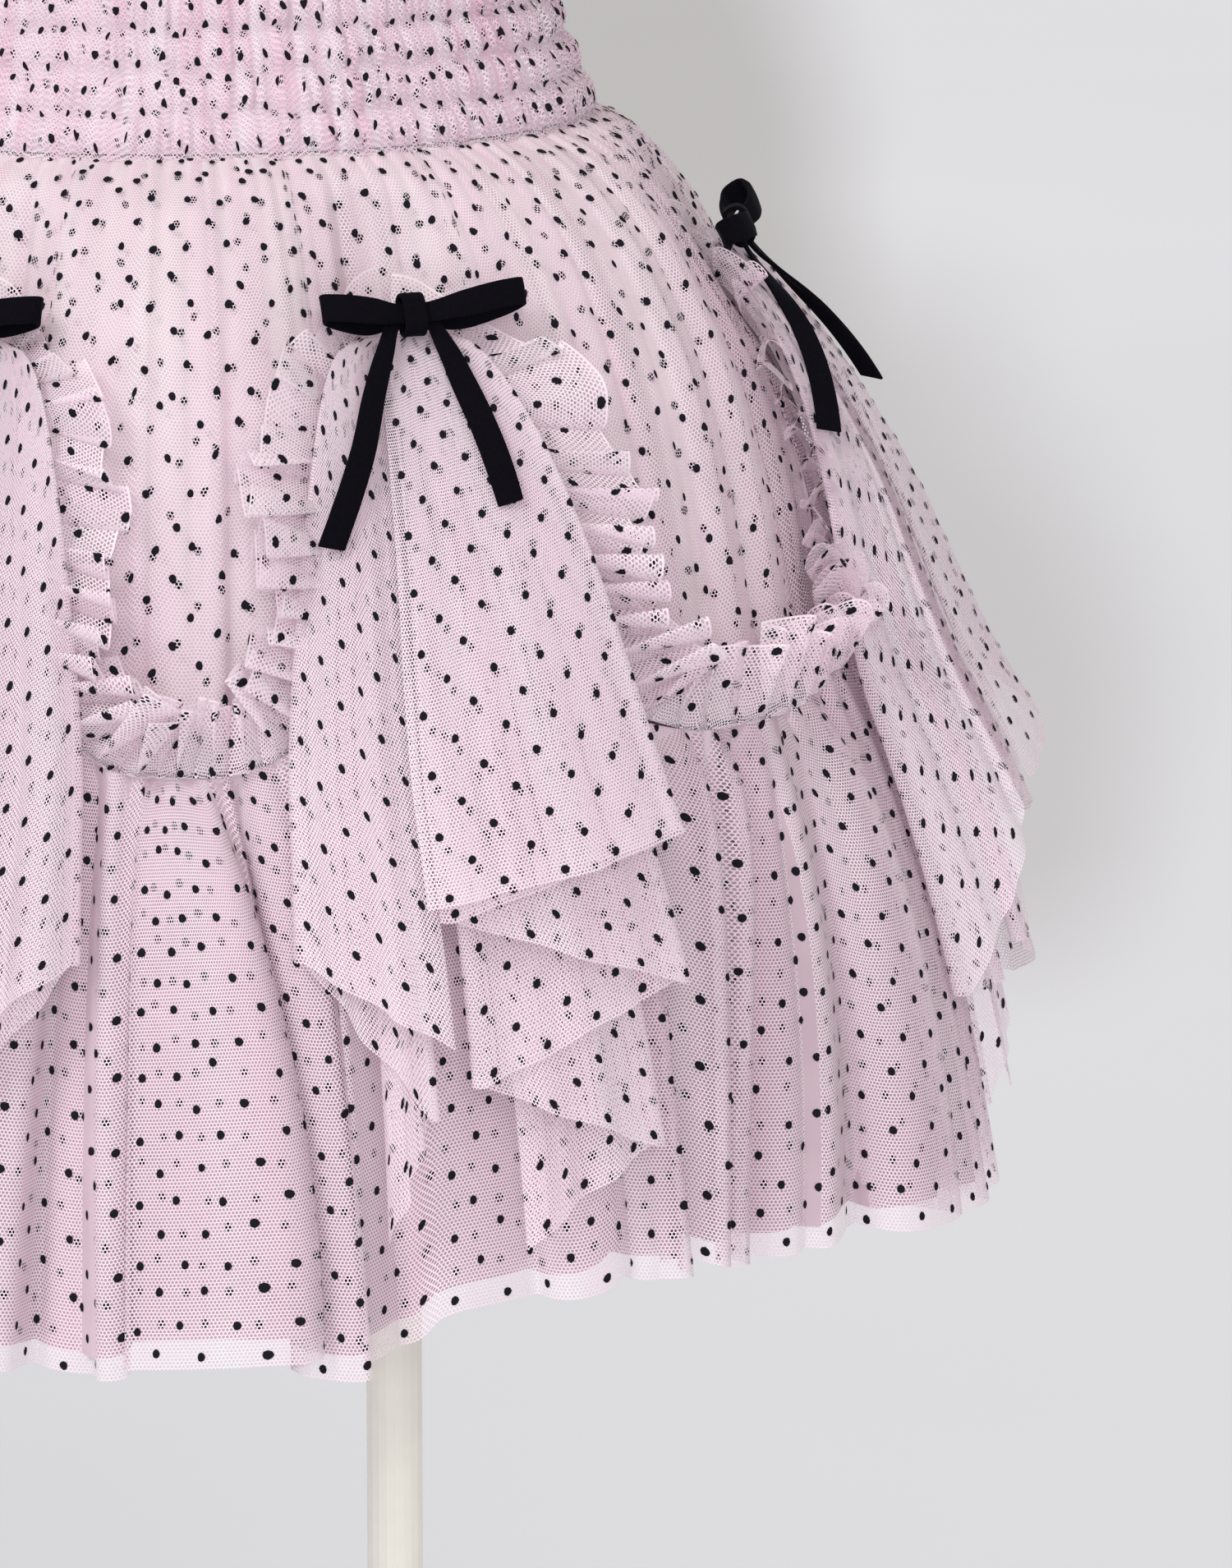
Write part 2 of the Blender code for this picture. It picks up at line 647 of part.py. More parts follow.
def build_bows(material, parent):
    """Each bow's loops, tails and knot, square to the skirt. The bows on the wearer's right are mirrored."""
    for bow in BOWS:
        for label, build in (("loops", loops_mesh), ("tails", tails_mesh), ("knot", knot_mesh)):
            name = f"bow_{bow.name}_{label}"
            add_object(name, build(name, bow), material, parent, RIBBON_WALL)


def form_ring(section):
    """One section of the display form, as an oval of points."""
    angles = np.arange(FORM_SEGMENTS) * math.tau / FORM_SEGMENTS
    return np.stack(
        [
            section.half_width * np.sin(angles),
            -section.half_depth * np.cos(angles),
            np.full(FORM_SEGMENTS, SEAM_HEIGHT + section.rise),
        ],
        axis=-1,
    )


def build_form(material, parent):
    """The hip and waist form, which the waistband grips, closed by a low cap."""
    waist = [
        Section(
            SEAM_GAP + row * BAND_ROW_HEIGHT,
            WAIST_HALF_WIDTH + band_inside(row) - FORM_CLEARANCE,
            WAIST_HALF_DEPTH + band_inside(row) - FORM_CLEARANCE,
        )
        for row in range(0, BAND_ROWS + 1, 2)
    ]
    rings = [form_ring(section) for section in (*HIP_SECTIONS, *waist, *CAP_SECTIONS)]
    add_object("display_form", closed_rings("display_form", rings, join_ends=False), material, parent)


def turned(name, profile, x, segments, material, parent, ring=False):
    """A round piece about a vertical axis, from a profile of radius and height. A ring's profile is a closed loop."""
    angles = np.arange(segments) * math.tau / segments
    rings = [
        np.stack([x + radius * np.cos(angles), radius * np.sin(angles), np.full(segments, height)], axis=-1)
        for radius, height in profile
    ]
    mesh = closed_rings(name, rings, join_ends=ring)
    mesh.set_sharp_from_angle(angle=SHARP_EDGE)
    return add_object(name, mesh, material, parent)


def build_stand(metal, parent):
    """Base plate, collar, pole, and the socket under the form."""
    radius, pole = BASE_DIAMETER / 2, POLE_DIAMETER / 2
    turned(
        "base_plate",
        ((radius, 0.0), (radius, BASE_THICKNESS - BASE_BEVEL), (radius - BASE_BEVEL, BASE_THICKNESS)),
        0.0, BASE_SEGMENTS, metal, parent,
    )
    bottom = BASE_THICKNESS + SEAM_GAP
    form_bottom = SEAM_HEIGHT + HIP_SECTIONS[0].rise
    top = form_bottom - SEAM_GAP
    turned("pole", ((pole, bottom), (pole, top)), POLE_X, POLE_SEGMENTS, metal, parent)
    collars = (
        ("base_collar", COLLAR_DIAMETER / 2, bottom, bottom + COLLAR_HEIGHT),
        ("pole_socket", SOCKET_DIAMETER / 2, top - SOCKET_HEIGHT, top),
    )
    for name, outside, low, high in collars:
        inside = pole + SEAM_GAP
        turned(
            name, ((outside, low), (outside, high), (inside, high), (inside, low)),
            POLE_X, POLE_SEGMENTS, metal, parent, ring=True,
        )


def make_material(name, colour, roughness, metallic=0.0):
    """A Principled material of one colour."""
    material = bpy.data.materials.new(name)
    material.use_nodes = True
    shader = material.node_tree.nodes["Principled BSDF"]
    shader.inputs["Base Color"].default_value = (*colour, 1.0)
    shader.inputs["Roughness"].default_value = roughness
    shader.inputs["Metallic"].default_value = metallic
    material.diffuse_color = (*colour, 1.0)
    return material


def main():
    for thing in list(bpy.data.objects):
        bpy.data.objects.remove(thing)
    root = bpy.data.objects.new("skirt_on_form", None)
    bpy.context.scene.collection.objects.link(root)
    tulle = make_material("dotted_tulle", (0.84, 0.62, 0.73), 0.75)
    satin = make_material("satin_lining", (0.90, 0.74, 0.79), 0.40)
    velvet = make_material("black_velvet", (0.008, 0.008, 0.012), 0.95)
    cream = make_material("cream_form", (0.78, 0.75, 0.68), 0.60)
    metal = make_material("cream_metal", (0.76, 0.73, 0.63), 0.35, 0.1)
    build_waistband(tulle, root)
    build_lining(satin, root)
    build_tiers(tulle, root)
    build_headings(tulle, root)
    build_cascades(tulle, root)
    build_bows(velvet, root)
    build_form(cream, root)
    build_stand(metal, root)


main()
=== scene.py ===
"""Dresses the tulle mini skirt: dotted net in layers, ruffles, satin lining, velvet bows, form and stand."""

import json
import math
from collections import namedtuple

import bpy
import numpy as np
from mathutils import Euler, Matrix

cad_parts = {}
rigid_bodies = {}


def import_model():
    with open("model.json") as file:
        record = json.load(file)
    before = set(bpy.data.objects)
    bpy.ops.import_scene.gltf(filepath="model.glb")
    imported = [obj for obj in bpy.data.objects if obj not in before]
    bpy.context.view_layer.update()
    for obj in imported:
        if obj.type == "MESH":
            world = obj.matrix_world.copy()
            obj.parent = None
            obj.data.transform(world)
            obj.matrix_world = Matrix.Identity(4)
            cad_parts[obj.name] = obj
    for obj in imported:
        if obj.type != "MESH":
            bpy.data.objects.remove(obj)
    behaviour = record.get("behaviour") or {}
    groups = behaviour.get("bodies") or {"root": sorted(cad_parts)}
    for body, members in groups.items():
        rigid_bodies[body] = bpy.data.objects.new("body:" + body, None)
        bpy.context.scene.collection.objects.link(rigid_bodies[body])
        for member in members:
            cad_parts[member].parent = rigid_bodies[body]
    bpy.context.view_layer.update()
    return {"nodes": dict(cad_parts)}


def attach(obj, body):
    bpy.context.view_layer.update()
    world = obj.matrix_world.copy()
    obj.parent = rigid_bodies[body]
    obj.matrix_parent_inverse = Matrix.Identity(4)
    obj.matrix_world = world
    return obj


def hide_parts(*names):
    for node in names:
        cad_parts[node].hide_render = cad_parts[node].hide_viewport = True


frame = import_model()

# The skirt's sizes, the same as the CAD's, in metres
SEAM_HEIGHT = 0.970
WAIST_HALF_WIDTH = 0.1380
WAIST_HALF_DEPTH = 0.1035
BAND_ROWS = 6
BAND_ROW_HEIGHT = 0.0128
BAND_TAPER = (-0.0010, -0.0070, -0.0120, -0.0165, -0.0200, -0.0220, -0.0230)
GATHERS = 42
FINE_FOLD = 0.0010
SEAM_FOLD = 0.0024
HEM_FOLD = 0.0075
HEM_SWING = 0.0060
SWINGS = 12
LINING_DROP = 0.338
LINING_RIPPLES = 12
LINING_RIPPLE_DEPTH = 0.0035
SCALLOP_DROP = 0.186
SCALLOP_ROUNDNESS = 3.2
ARCH_HALF_ANGLE = math.radians(9.5)
ARCH_SHOULDER = 0.030
SEAM_CROWDING = 0.35
BOW_STANDOFF = 0.0215
BOW_DIMPLE = 0.020
BOW_DIMPLE_REACH = 0.034
BOW_CALM_REACH = 0.014
BOW_LEAN = math.radians(24)
KNOT_WIDTH = 0.0075

SKIRT_PROFILE = (
    (0.000, -0.0030), (0.006, 0.0115), (0.014, 0.0230), (0.030, 0.0385), (0.050, 0.0505), (0.075, 0.0620),
    (0.114, 0.0730), (0.160, 0.0820), (0.186, 0.0885), (0.205, 0.0955), (0.240, 0.1070), (0.294, 0.1210),
    (0.370, 0.1340),
)
LINING_PROFILE = (
    (0.000, -0.0035), (0.030, 0.0100), (0.060, 0.0190), (0.120, 0.0340), (0.180, 0.0460), (0.338, 0.0840),
)
HEM_PROFILE = (
    (0, 0.3660), (9, 0.3705), (14, 0.3660), (19, 0.3550), (30, 0.3510), (38, 0.3480), (50, 0.3520),
    (66, 0.3530), (86, 0.3580), (115, 0.3550), (150, 0.3500), (166, 0.3640), (180, 0.3670),
)
Bow = namedtuple("Bow", "name angle drop sway side")
BOWS = sorted(
    (
        Bow(f"{name}_{hand}", side * math.radians(degrees), drop, sway, side)
        for name, degrees, drop, sways in (
            ("front", 22.9, 0.0465, (0.20, 0.08)), ("side", 86.0, 0.0400, (0.05, 0.05)),
            ("back", 152.0, 0.0440, (0.05, 0.05)),
        )
        for hand, side, sway in zip(("left", "right"), (1, -1), sways)
    ),
    key=lambda bow: bow.angle,
)

Turn = namedtuple("Turn", "across_top across_hem out_top out_hem hem_drop")
OUTER_CASCADE = (
    Turn(-0.0030, -0.031, 0.0160, 0.050, 0.219),
    Turn(0.0120, 0.045, 0.0144, 0.045, 0.204),
    Turn(0.0000, -0.023, 0.0130, 0.040, 0.225),
    Turn(0.0120, 0.047, 0.0118, 0.034, 0.252),
    Turn(0.0020, -0.016, 0.0106, 0.027, 0.279),
    Turn(0.0115, 0.041, 0.0092, 0.021, 0.305),
    Turn(0.0040, -0.001, 0.0026, 0.013, 0.335),
)
INNER_CASCADE = (
    Turn(-0.0060, -0.026, 0.0140, 0.040, 0.264),
    Turn(-0.0150, -0.062, 0.0126, 0.016, 0.240),
    Turn(-0.0070, -0.030, 0.0106, 0.019, 0.290),
    Turn(-0.0120, -0.044, 0.0070, 0.011, 0.330),
)
SIDE_INNER_CASCADE = (
    Turn(-0.0080, -0.040, 0.0150, 0.048, 0.226),
    Turn(-0.0150, -0.062, 0.0126, 0.016, 0.287),
    Turn(-0.0070, -0.030, 0.0106, 0.019, 0.290),
    Turn(-0.0120, -0.044, 0.0070, 0.011, 0.330),
)
CASCADE_TOP = 0.0065
CASCADE_SPREADING = 0.37

LOOP_STOPS = (
    (0.0060, -0.0014, -0.0005, 0.0060), (0.0160, -0.0030, -0.0005, 0.0085),
    (0.0290, -0.0028, 0.0020, 0.0090), (0.0375, 0.0000, 0.0045, 0.0090), (0.0385, 0.0035, 0.0050, 0.0090),
    (0.0320, 0.0070, 0.0040, 0.0090), (0.0170, 0.0075, 0.0015, 0.0085), (0.0050, 0.0034, 0.0002, 0.0065),
    (-0.0050, 0.0034, 0.0002, 0.0065), (-0.0140, 0.0070, 0.0008, 0.0085),
    (-0.0250, 0.0065, 0.0026, 0.0090), (-0.0300, 0.0035, 0.0036, 0.0090),
    (-0.0290, 0.0000, 0.0034, 0.0090), (-0.0220, -0.0028, 0.0014, 0.0090),
    (-0.0130, -0.0030, -0.0005, 0.0085), (-0.0060, -0.0014, -0.0005, 0.0060),
)
KNOT_PATH = (
    (-0.0012, 0.0014), (-0.0012, 0.0046), (-0.0004, 0.0058), (0.0043, 0.0058), (0.0054, 0.0044),
    (0.0057, 0.0000), (0.0054, -0.0044), (0.0043, -0.0058), (-0.0004, -0.0058), (-0.0012, -0.0046),
    (-0.0012, -0.0014),
)
TAIL_STOPS = (
    (-0.0270, 0.0225, -0.0660, 0.0080), (-0.0235, 0.0240, -0.0520, 0.0080),
    (-0.0195, 0.0248, -0.0370, 0.0078), (-0.0150, 0.0228, -0.0220, 0.0074),
    (-0.0100, 0.0218, -0.0105, 0.0062), (-0.0050, 0.0223, -0.0010, 0.0040),
    (0.0050, 0.0223, -0.0010, 0.0040), (0.0110, 0.0218, -0.0095, 0.0064),
    (0.0150, 0.0236, -0.0200, 0.0080), (0.0195, 0.0262, -0.0330, 0.0084),
    (0.0230, 0.0284, -0.0450, 0.0084), (0.0255, 0.0302, -0.0550, 0.0080),
)

# The cloth's own scale
NET_PITCH = 0.0013
# The share of light that passes through a thread, and how many times longer than wide a streak is
LIGHT_THROUGH = 0.25
STREAK_LENGTH = 14
DOT_COLUMNS = 0.0100
DOT_ROWS = 0.0200
DOT_RADIUS = 0.0015
DOT_SIDES = 8
DOT_LIFT = 0.00025
DOT_EDGE_MARGIN = 0.0007
# A dot is never drawn narrower than this share of its width, however much its cloth is gathered
DOT_LEAST_WIDTH = 0.84
DOT_MOST_STRETCH = 2.0

# How far one radian reaches at about the seam and along the flounce, where an exact reach isn't needed
SEAM_REACH = 0.21
FLOUNCE_REACH = 0.23
FOLD_EDGE_REACH = 0.225
FOLD_EDGE_WIDTH = 0.0011
FOLD_SLOPE_WIDTH = 0.012
FOLD_HOLLOW_WIDTH = 0.007

SIDE_TAIL_TWIST = math.radians(62)
SIDE_TAIL_STOPS = (
    (-0.0400, 0.0176, -0.0600, 0.0080), (-0.0330, 0.0190, -0.0450, 0.0080),
    (-0.0255, 0.0205, -0.0310, 0.0078), (-0.0175, 0.0214, -0.0190, 0.0074),
    (-0.0105, 0.0216, -0.0100, 0.0062), *TAIL_STOPS[5:],
)
FRONT_RIGHT_TAIL_STOPS = (
    (-0.0130, 0.0306, -0.0600, 0.0080), (-0.0125, 0.0290, -0.0480, 0.0080),
    (-0.0115, 0.0268, -0.0350, 0.0078), (-0.0100, 0.0242, -0.0220, 0.0074),
    (-0.0080, 0.0224, -0.0105, 0.0062), *TAIL_STOPS[5:],
)
TAILS_BY_BOW = {
    "front_right": FRONT_RIGHT_TAIL_STOPS, "side_left": SIDE_TAIL_STOPS, "side_right": SIDE_TAIL_STOPS,
}
FOLD_EDGES = (
    (-10.5, -11.5, -12.5, 0.0060, -1), (-6.4, -6.6, -6.4, 0.0045, 1), (-2.9, -2.9, -2.8, 0.0060, 1),
    (0.9, 5.2, 6.0, 0.0110, -1), (4.7, 7.8, 9.0, 0.0040, 1), (10.5, 11.5, 12.0, 0.0055, 1),
    (36.0, 35.0, 34.5, 0.0070, -1), (45.2, 40.5, 37.4, 0.0060, -1), (50.8, 44.5, 41.5, 0.0100, -1),
    (56.7, 53.3, 49.8, 0.0060, 1), (65.4, 64.4, 62.6, 0.0110, -1), (71.5, 71.0, 70.5, 0.0060, -1),
    (-36.0, -35.0, -34.5, 0.0070, 1), (-45.0, -42.0, -40.0, 0.0080, 1), (-56.0, -54.0, -51.0, 0.0090, -1),
    (-66.0, -65.0, -63.0, 0.0080, 1), (103.0, 104.0, 105.0, 0.0080, 1), (114.0, 115.0, 117.0, 0.0070, -1),
    (127.0, 128.0, 128.0, 0.0090, 1), (138.0, 137.0, 136.0, 0.0060, -1), (168.0, 168.0, 167.0, 0.0070, 1),
    (178.0, 178.0, 179.0, 0.0090, -1), (-103.0, -104.0, -105.0, 0.0080, -1),
    (-115.0, -116.0, -117.0, 0.0070, 1), (-128.0, -127.0, -127.0, 0.0090, -1),
    (-139.0, -138.0, -137.0, 0.0060, 1), (-167.0, -167.0, -168.0, 0.0070, -1),
)
RUFFLE_LOOP = 0.0125
RUFFLE_COLUMNS = 800
RUFFLE_ROWS = 11
RUFFLE_TALL = 0.0262
# How far a heading keeps from the middle of each bow, in radians
RUFFLE_END = 0.006
TIER_COLUMNS = 1150
TIER_ROWS = 34
FLOUNCE_ROWS = 36
BAND_COLUMNS = 1100
BAND_STEPS_PER_ROW = 6
LINING_COLUMNS = 480
LINING_ROWS = 40
CASCADE_ROWS = 40

# The camera, as fitted to the photo
CAMERA_DISTANCE = 3.5
CAMERA_ABOVE_SEAM = 0.535
CAMERA_LENS = 243.3
CAMERA_DOWN = 12.35
CAMERA_RIGHT = 2.38
def smooth(rows, at):
    """The second column of a table at a value of the first, along a smooth curve through the rows."""
    xs, ys = np.array([row[0] for row in rows], float), np.array([row[1] for row in rows], float)
    slopes = np.gradient(ys, xs)
    at = np.clip(at, xs[0], xs[-1])
    k = np.clip(np.searchsorted(xs, at) - 1, 0, len(xs) - 2)
    width = xs[k + 1] - xs[k]
    t = (at - xs[k]) / width
    rise = ys[k + 1] - ys[k]
    return ys[k] + t * (
        width * slopes[k] + t * (3 * rise - width * (2 * slopes[k] + slopes[k + 1]))
        + t * t * (width * (slopes[k] + slopes[k + 1]) - 2 * rise)
    )


def oval(angle, spread, height):
    """A point on the waist's oval grown by spread, at a height."""
    return np.stack(
        [
            (WAIST_HALF_WIDTH + spread) * np.sin(angle),
            -(WAIST_HALF_DEPTH + spread) * np.cos(angle),
            height + 0 * angle,
        ],
        axis=-1,
    )


def metres_per_radian(angle, spread):
    """How far one radian of angle reaches along the oval."""
    return np.hypot((WAIST_HALF_WIDTH + spread) * np.cos(angle), (WAIST_HALF_DEPTH + spread) * np.sin(angle))


BOW_ARCS = {bow.name: metres_per_radian(bow.angle, smooth(SKIRT_PROFILE, bow.drop)) for bow in BOWS}


def arc_from(bow, angle):
    """How far round the skirt an angle is from a bow, in metres."""
    return (np.mod(angle - bow.angle + math.pi, math.tau) - math.pi) * BOW_ARCS[bow.name]


def skirt_point(angle, drop, out=0.0):
    """A point that stands out from the skirt's plain surface, which each bow pulls in."""
    angle, drop = np.asarray(angle, float), np.asarray(drop, float)
    spread = smooth(SKIRT_PROFILE, drop) + out
    for bow in BOWS:
        depth = (drop / bow.drop * np.exp(1 - drop / bow.drop)) ** 2
        spread = spread - BOW_DIMPLE * depth * np.exp(-((arc_from(bow, angle) / BOW_DIMPLE_REACH) ** 2))
    return oval(angle, spread, SEAM_HEIGHT - drop)


def seam_columns(count):
    """The angles and drops of the scalloped seam all the way round, evenly spaced along a blend of both."""
    fine, drops = [], []
    for k, bow in enumerate(BOWS):
        after = BOWS[(k + 1) % len(BOWS)]
        share = np.linspace(-1, 1, 60, endpoint=False)
        fine.append(bow.angle + ARCH_HALF_ANGLE * share)
        drops.append(bow.drop + ARCH_SHOULDER * share**2)
        start = bow.angle + ARCH_HALF_ANGLE
        end = after.angle + (math.tau if k + 1 == len(BOWS) else 0.0) - ARCH_HALF_ANGLE
        turn = np.linspace(0, math.pi, 800, endpoint=False)
        across = -np.sign(np.cos(turn)) * np.abs(np.cos(turn)) ** (2 / SCALLOP_ROUNDNESS)
        bulge = np.sin(turn) ** (2 / SCALLOP_ROUNDNESS)
        shoulder = bow.drop + (after.drop - bow.drop) * (1 + across) / 2 + ARCH_SHOULDER
        fine.append(start + (end - start) * (1 + across) / 2)
        drops.append(shoulder + (SCALLOP_DROP - shoulder) * bulge)
    fine, drops = np.concatenate(fine), np.concatenate(drops)
    fine, drops = np.append(fine, fine[0] + math.tau), np.append(drops, drops[0])
    step = np.hypot(np.diff(fine) * SEAM_REACH, np.diff(drops) * SEAM_CROWDING)
    length = np.concatenate([[0.0], np.cumsum(step)])
    place = np.linspace(0, length[-1], count, endpoint=False)
    return np.interp(place, length, fine), np.interp(place, length, drops)


def hem_drop(angles):
    """The drop of the flounce's hem."""
    return smooth(HEM_PROFILE, np.abs(np.degrees(np.mod(angles + math.pi, math.tau) - math.pi)))


def folds(angle, share_to_seam, share_to_hem):
    """The CAD's folds with rounded tops and sharp valleys, and how far they lean sideways."""
    drift = 1.1 * np.sin(5 * angle + 0.6) + 0.5 * np.sin(11 * angle)
    depth = FINE_FOLD + (SEAM_FOLD - FINE_FOLD) * share_to_seam + (HEM_FOLD - SEAM_FOLD) * share_to_hem
    for bow in BOWS:
        calm = share_to_seam * (1 - share_to_hem) * np.exp(-((arc_from(bow, angle) / BOW_CALM_REACH) ** 2))
        depth = depth * (1 - calm)
    rounded = 2 * np.abs(np.sin((GATHERS * angle + drift + math.pi / 2) / 2)) ** 0.9 - 1.15
    rounded = rounded * (0.78 + 0.22 * np.sin(7 * angle + 1.0))
    swing = HEM_SWING * share_to_hem * np.sin(SWINGS * angle + 2 * np.sin(3 * angle))
    return 1.15 * depth * rounded + swing, np.sin(9 * angle + 1.3) * depth * rounded


def fold_warp(angle, share):
    """The columns' angles part of the way down the flounce, where each column stays with its fold edge."""
    known = sorted([(top, middle, low) for top, middle, low, _, _ in FOLD_EDGES]
                   + [(math.degrees(bow.angle),) * 3 for bow in BOWS])
    top, middle, low = (np.radians(column) for column in zip(*known))
    # A smooth curve through each edge's three angles: at the seam, halfway and at the hem
    at_seam = (1 - share) * (1 - 2 * share)
    halfway = 4 * share * (1 - share)
    at_hem = -share * (1 - 2 * share)
    here = top * at_seam + middle * halfway + low * at_hem
    top = np.concatenate([top[-2:] - math.tau, top, top[:2] + math.tau])
    here = np.concatenate([here[-2:] - math.tau, here, here[:2] + math.tau])
    centred = np.mod(angle + math.pi, math.tau) - math.pi
    return angle + np.interp(centred, top, here) - centred


def fold_edges(angle, share):
    """Out and sideways lean of the listed folds: a sharp edge on one side and a soft slope beyond."""
    out, lean = 0.0 * angle, 0.0 * angle
    grow = 1 - np.exp(-share / 0.12)
    for top, _, _, depth, side in FOLD_EDGES:
        x = side * (np.mod(angle - np.radians(top) + math.pi, math.tau) - math.pi) * FOLD_EDGE_REACH
        edge = 0.5 + 0.5 * np.tanh(x / FOLD_EDGE_WIDTH)
        slope = np.exp(-np.maximum(x, 0) / FOLD_SLOPE_WIDTH) * edge
        hollow = 0.75 * np.exp(np.minimum(x, 0) / FOLD_HOLLOW_WIDTH) * (1 - edge)
        out = out + depth * grow * (slope - hollow)
        lean = lean - side * 0.60 * depth * grow * np.exp(-np.abs(x - 0.0010) / 0.0030)
    return out, lean


def pleats(angle, cycles, seed):
    """Uneven pleats round the skirt, from -1 in the sharp valleys to 1 on the rounded tops."""
    random = np.random.default_rng(seed)
    drift = 0.0
    for harmonic in (3, 7, 13, 19, 29):
        drift = drift + 2.6 / harmonic**0.5 * random.uniform(0.5, 1.0) * np.sin(
            harmonic * angle + random.uniform(0, math.tau)
        )
    height = 0.75 + 0.25 * np.sin(random.integers(5, 12) * angle + random.uniform(0, math.tau))
    return (2 * np.abs(np.sin((cycles * angle + drift) / 2)) ** 0.8 - 1) * height


def grid_faces(rows, columns, closed):
    """The quads of a sheet, row by row."""
    last = columns if closed else columns - 1
    r, c = np.meshgrid(np.arange(rows - 1), np.arange(last), indexing="ij")
    r, c = r.ravel(), c.ravel()
    after = (c + 1) % columns
    near, far = r * columns, (r + 1) * columns
    return np.stack([near + c, far + c, far + after, near + after], axis=1)


def mesh_of(name, points, faces, uv=None):
    """A smooth mesh from points and faces of one size, with a UV for each corner."""
    mesh = bpy.data.meshes.new(name)
    sides = faces.shape[1]
    mesh.vertices.add(len(points))
    mesh.vertices.foreach_set("co", np.asarray(points, np.float32).ravel())
    mesh.loops.add(faces.size)
    mesh.loops.foreach_set("vertex_index", faces.astype(np.int32).ravel())
    mesh.polygons.add(len(faces))
    mesh.polygons.foreach_set("loop_start", np.arange(len(faces), dtype=np.int32) * sides)
    mesh.update(calc_edges=True)
    if uv is not None:
        layer = mesh.uv_layers.new(name="cloth")
        layer.data.foreach_set("uv", np.asarray(uv, np.float32).ravel())
    mesh.shade_smooth()
    return mesh


def piece(name, mesh, material):
    """Links a mesh as a piece that rides on the part's one body."""
    thing = bpy.data.objects.new(name, mesh)
    bpy.context.scene.collection.objects.link(thing)
    mesh.materials.append(material)
    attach(thing, "root")
    return thing


Sheet = namedtuple("Sheet", "points u v closed")


def sheet_of(points, closed, width_row=-1, from_hem=False):
    """A sheet with the flat cloth's metres: u along the row that sets its width, v down each column."""
    row = points[width_row] * ((1, 1, 0) if closed else (1, 1, 1))
    steps = np.linalg.norm(np.diff(np.concatenate([row, row[:1]]) if closed else row, axis=0), axis=1)
    u = np.concatenate([[0.0], np.cumsum(steps)])
    drops = np.linalg.norm(np.diff(points, axis=0), axis=2)
    v = np.concatenate([np.zeros((1, points.shape[1])), np.cumsum(drops, axis=0)])
    if from_hem:
        v = v - v[-1:]
    return Sheet(points, u, v, closed)


def sheet_piece(name, sheet, material):
    """The sheet as a piece, with its flat metres as its UV map."""
    rows, columns = sheet.points.shape[:2]
    faces = grid_faces(rows, columns, sheet.closed)
    last = columns if sheet.closed else columns - 1
    r, c = np.meshgrid(np.arange(rows - 1), np.arange(last), indexing="ij")
    r, c = r.ravel(), c.ravel()
    after = (c + 1) % columns
    corners_u = np.stack([sheet.u[c], sheet.u[c], sheet.u[c + 1], sheet.u[c + 1]], axis=1)
    corners_v = np.stack([sheet.v[r, c], sheet.v[r + 1, c], sheet.v[r + 1, after], sheet.v[r, after]], axis=1)
    uv = np.stack([corners_u, -corners_v], axis=-1)
    return piece(name, mesh_of(name, sheet.points.reshape(-1, 3), faces, uv), material)


def at(sheet, values, row, column):
    """Values of a sheet's grid between its points."""
    rows, columns = values.shape[:2]
    row = np.clip(row, 0, rows - 1.000001)
    column = np.mod(column, columns) if sheet.closed else np.clip(column, 0, columns - 1.000001)
    r, c = row.astype(int), np.minimum(column.astype(int), columns - 1)
    after = (c + 1) % columns
    tr, tc = row - r, column - c
    if values.ndim == 3:
        tr, tc = tr[..., None], tc[..., None]
    low = values[r, c] * (1 - tc) + values[r, after] * tc
    high = values[r + 1, c] * (1 - tc) + values[r + 1, after] * tc
    return low * (1 - tr) + high * tr


def place_on(sheet, u, v):
    """The fractional row and column of points given in the flat cloth's metres."""
    rows, columns = sheet.v.shape
    column = np.interp(u, sheet.u, np.arange(len(sheet.u)))
    c = np.minimum(column.astype(int), columns - 1)
    t = column - c
    down = sheet.v[:, c] * (1 - t) + sheet.v[:, (c + 1) % columns] * t
    r = np.clip((down <= v).sum(axis=0) - 1, 0, rows - 2)
    k = np.arange(len(v))
    row = r + np.clip((v - down[r, k]) / np.maximum(down[r + 1, k] - down[r, k], 1e-9), 0, 1)
    return row, column


def outward(sheet):
    """The unit normal at each point of a sheet."""
    p = sheet.points
    if sheet.closed:
        along = np.roll(p, -1, axis=1) - np.roll(p, 1, axis=1)
    else:
        along = np.gradient(p, axis=1)
    normal = np.cross(np.gradient(p, axis=0), along)
    return normal / np.maximum(np.linalg.norm(normal, axis=-1, keepdims=True), 1e-12)


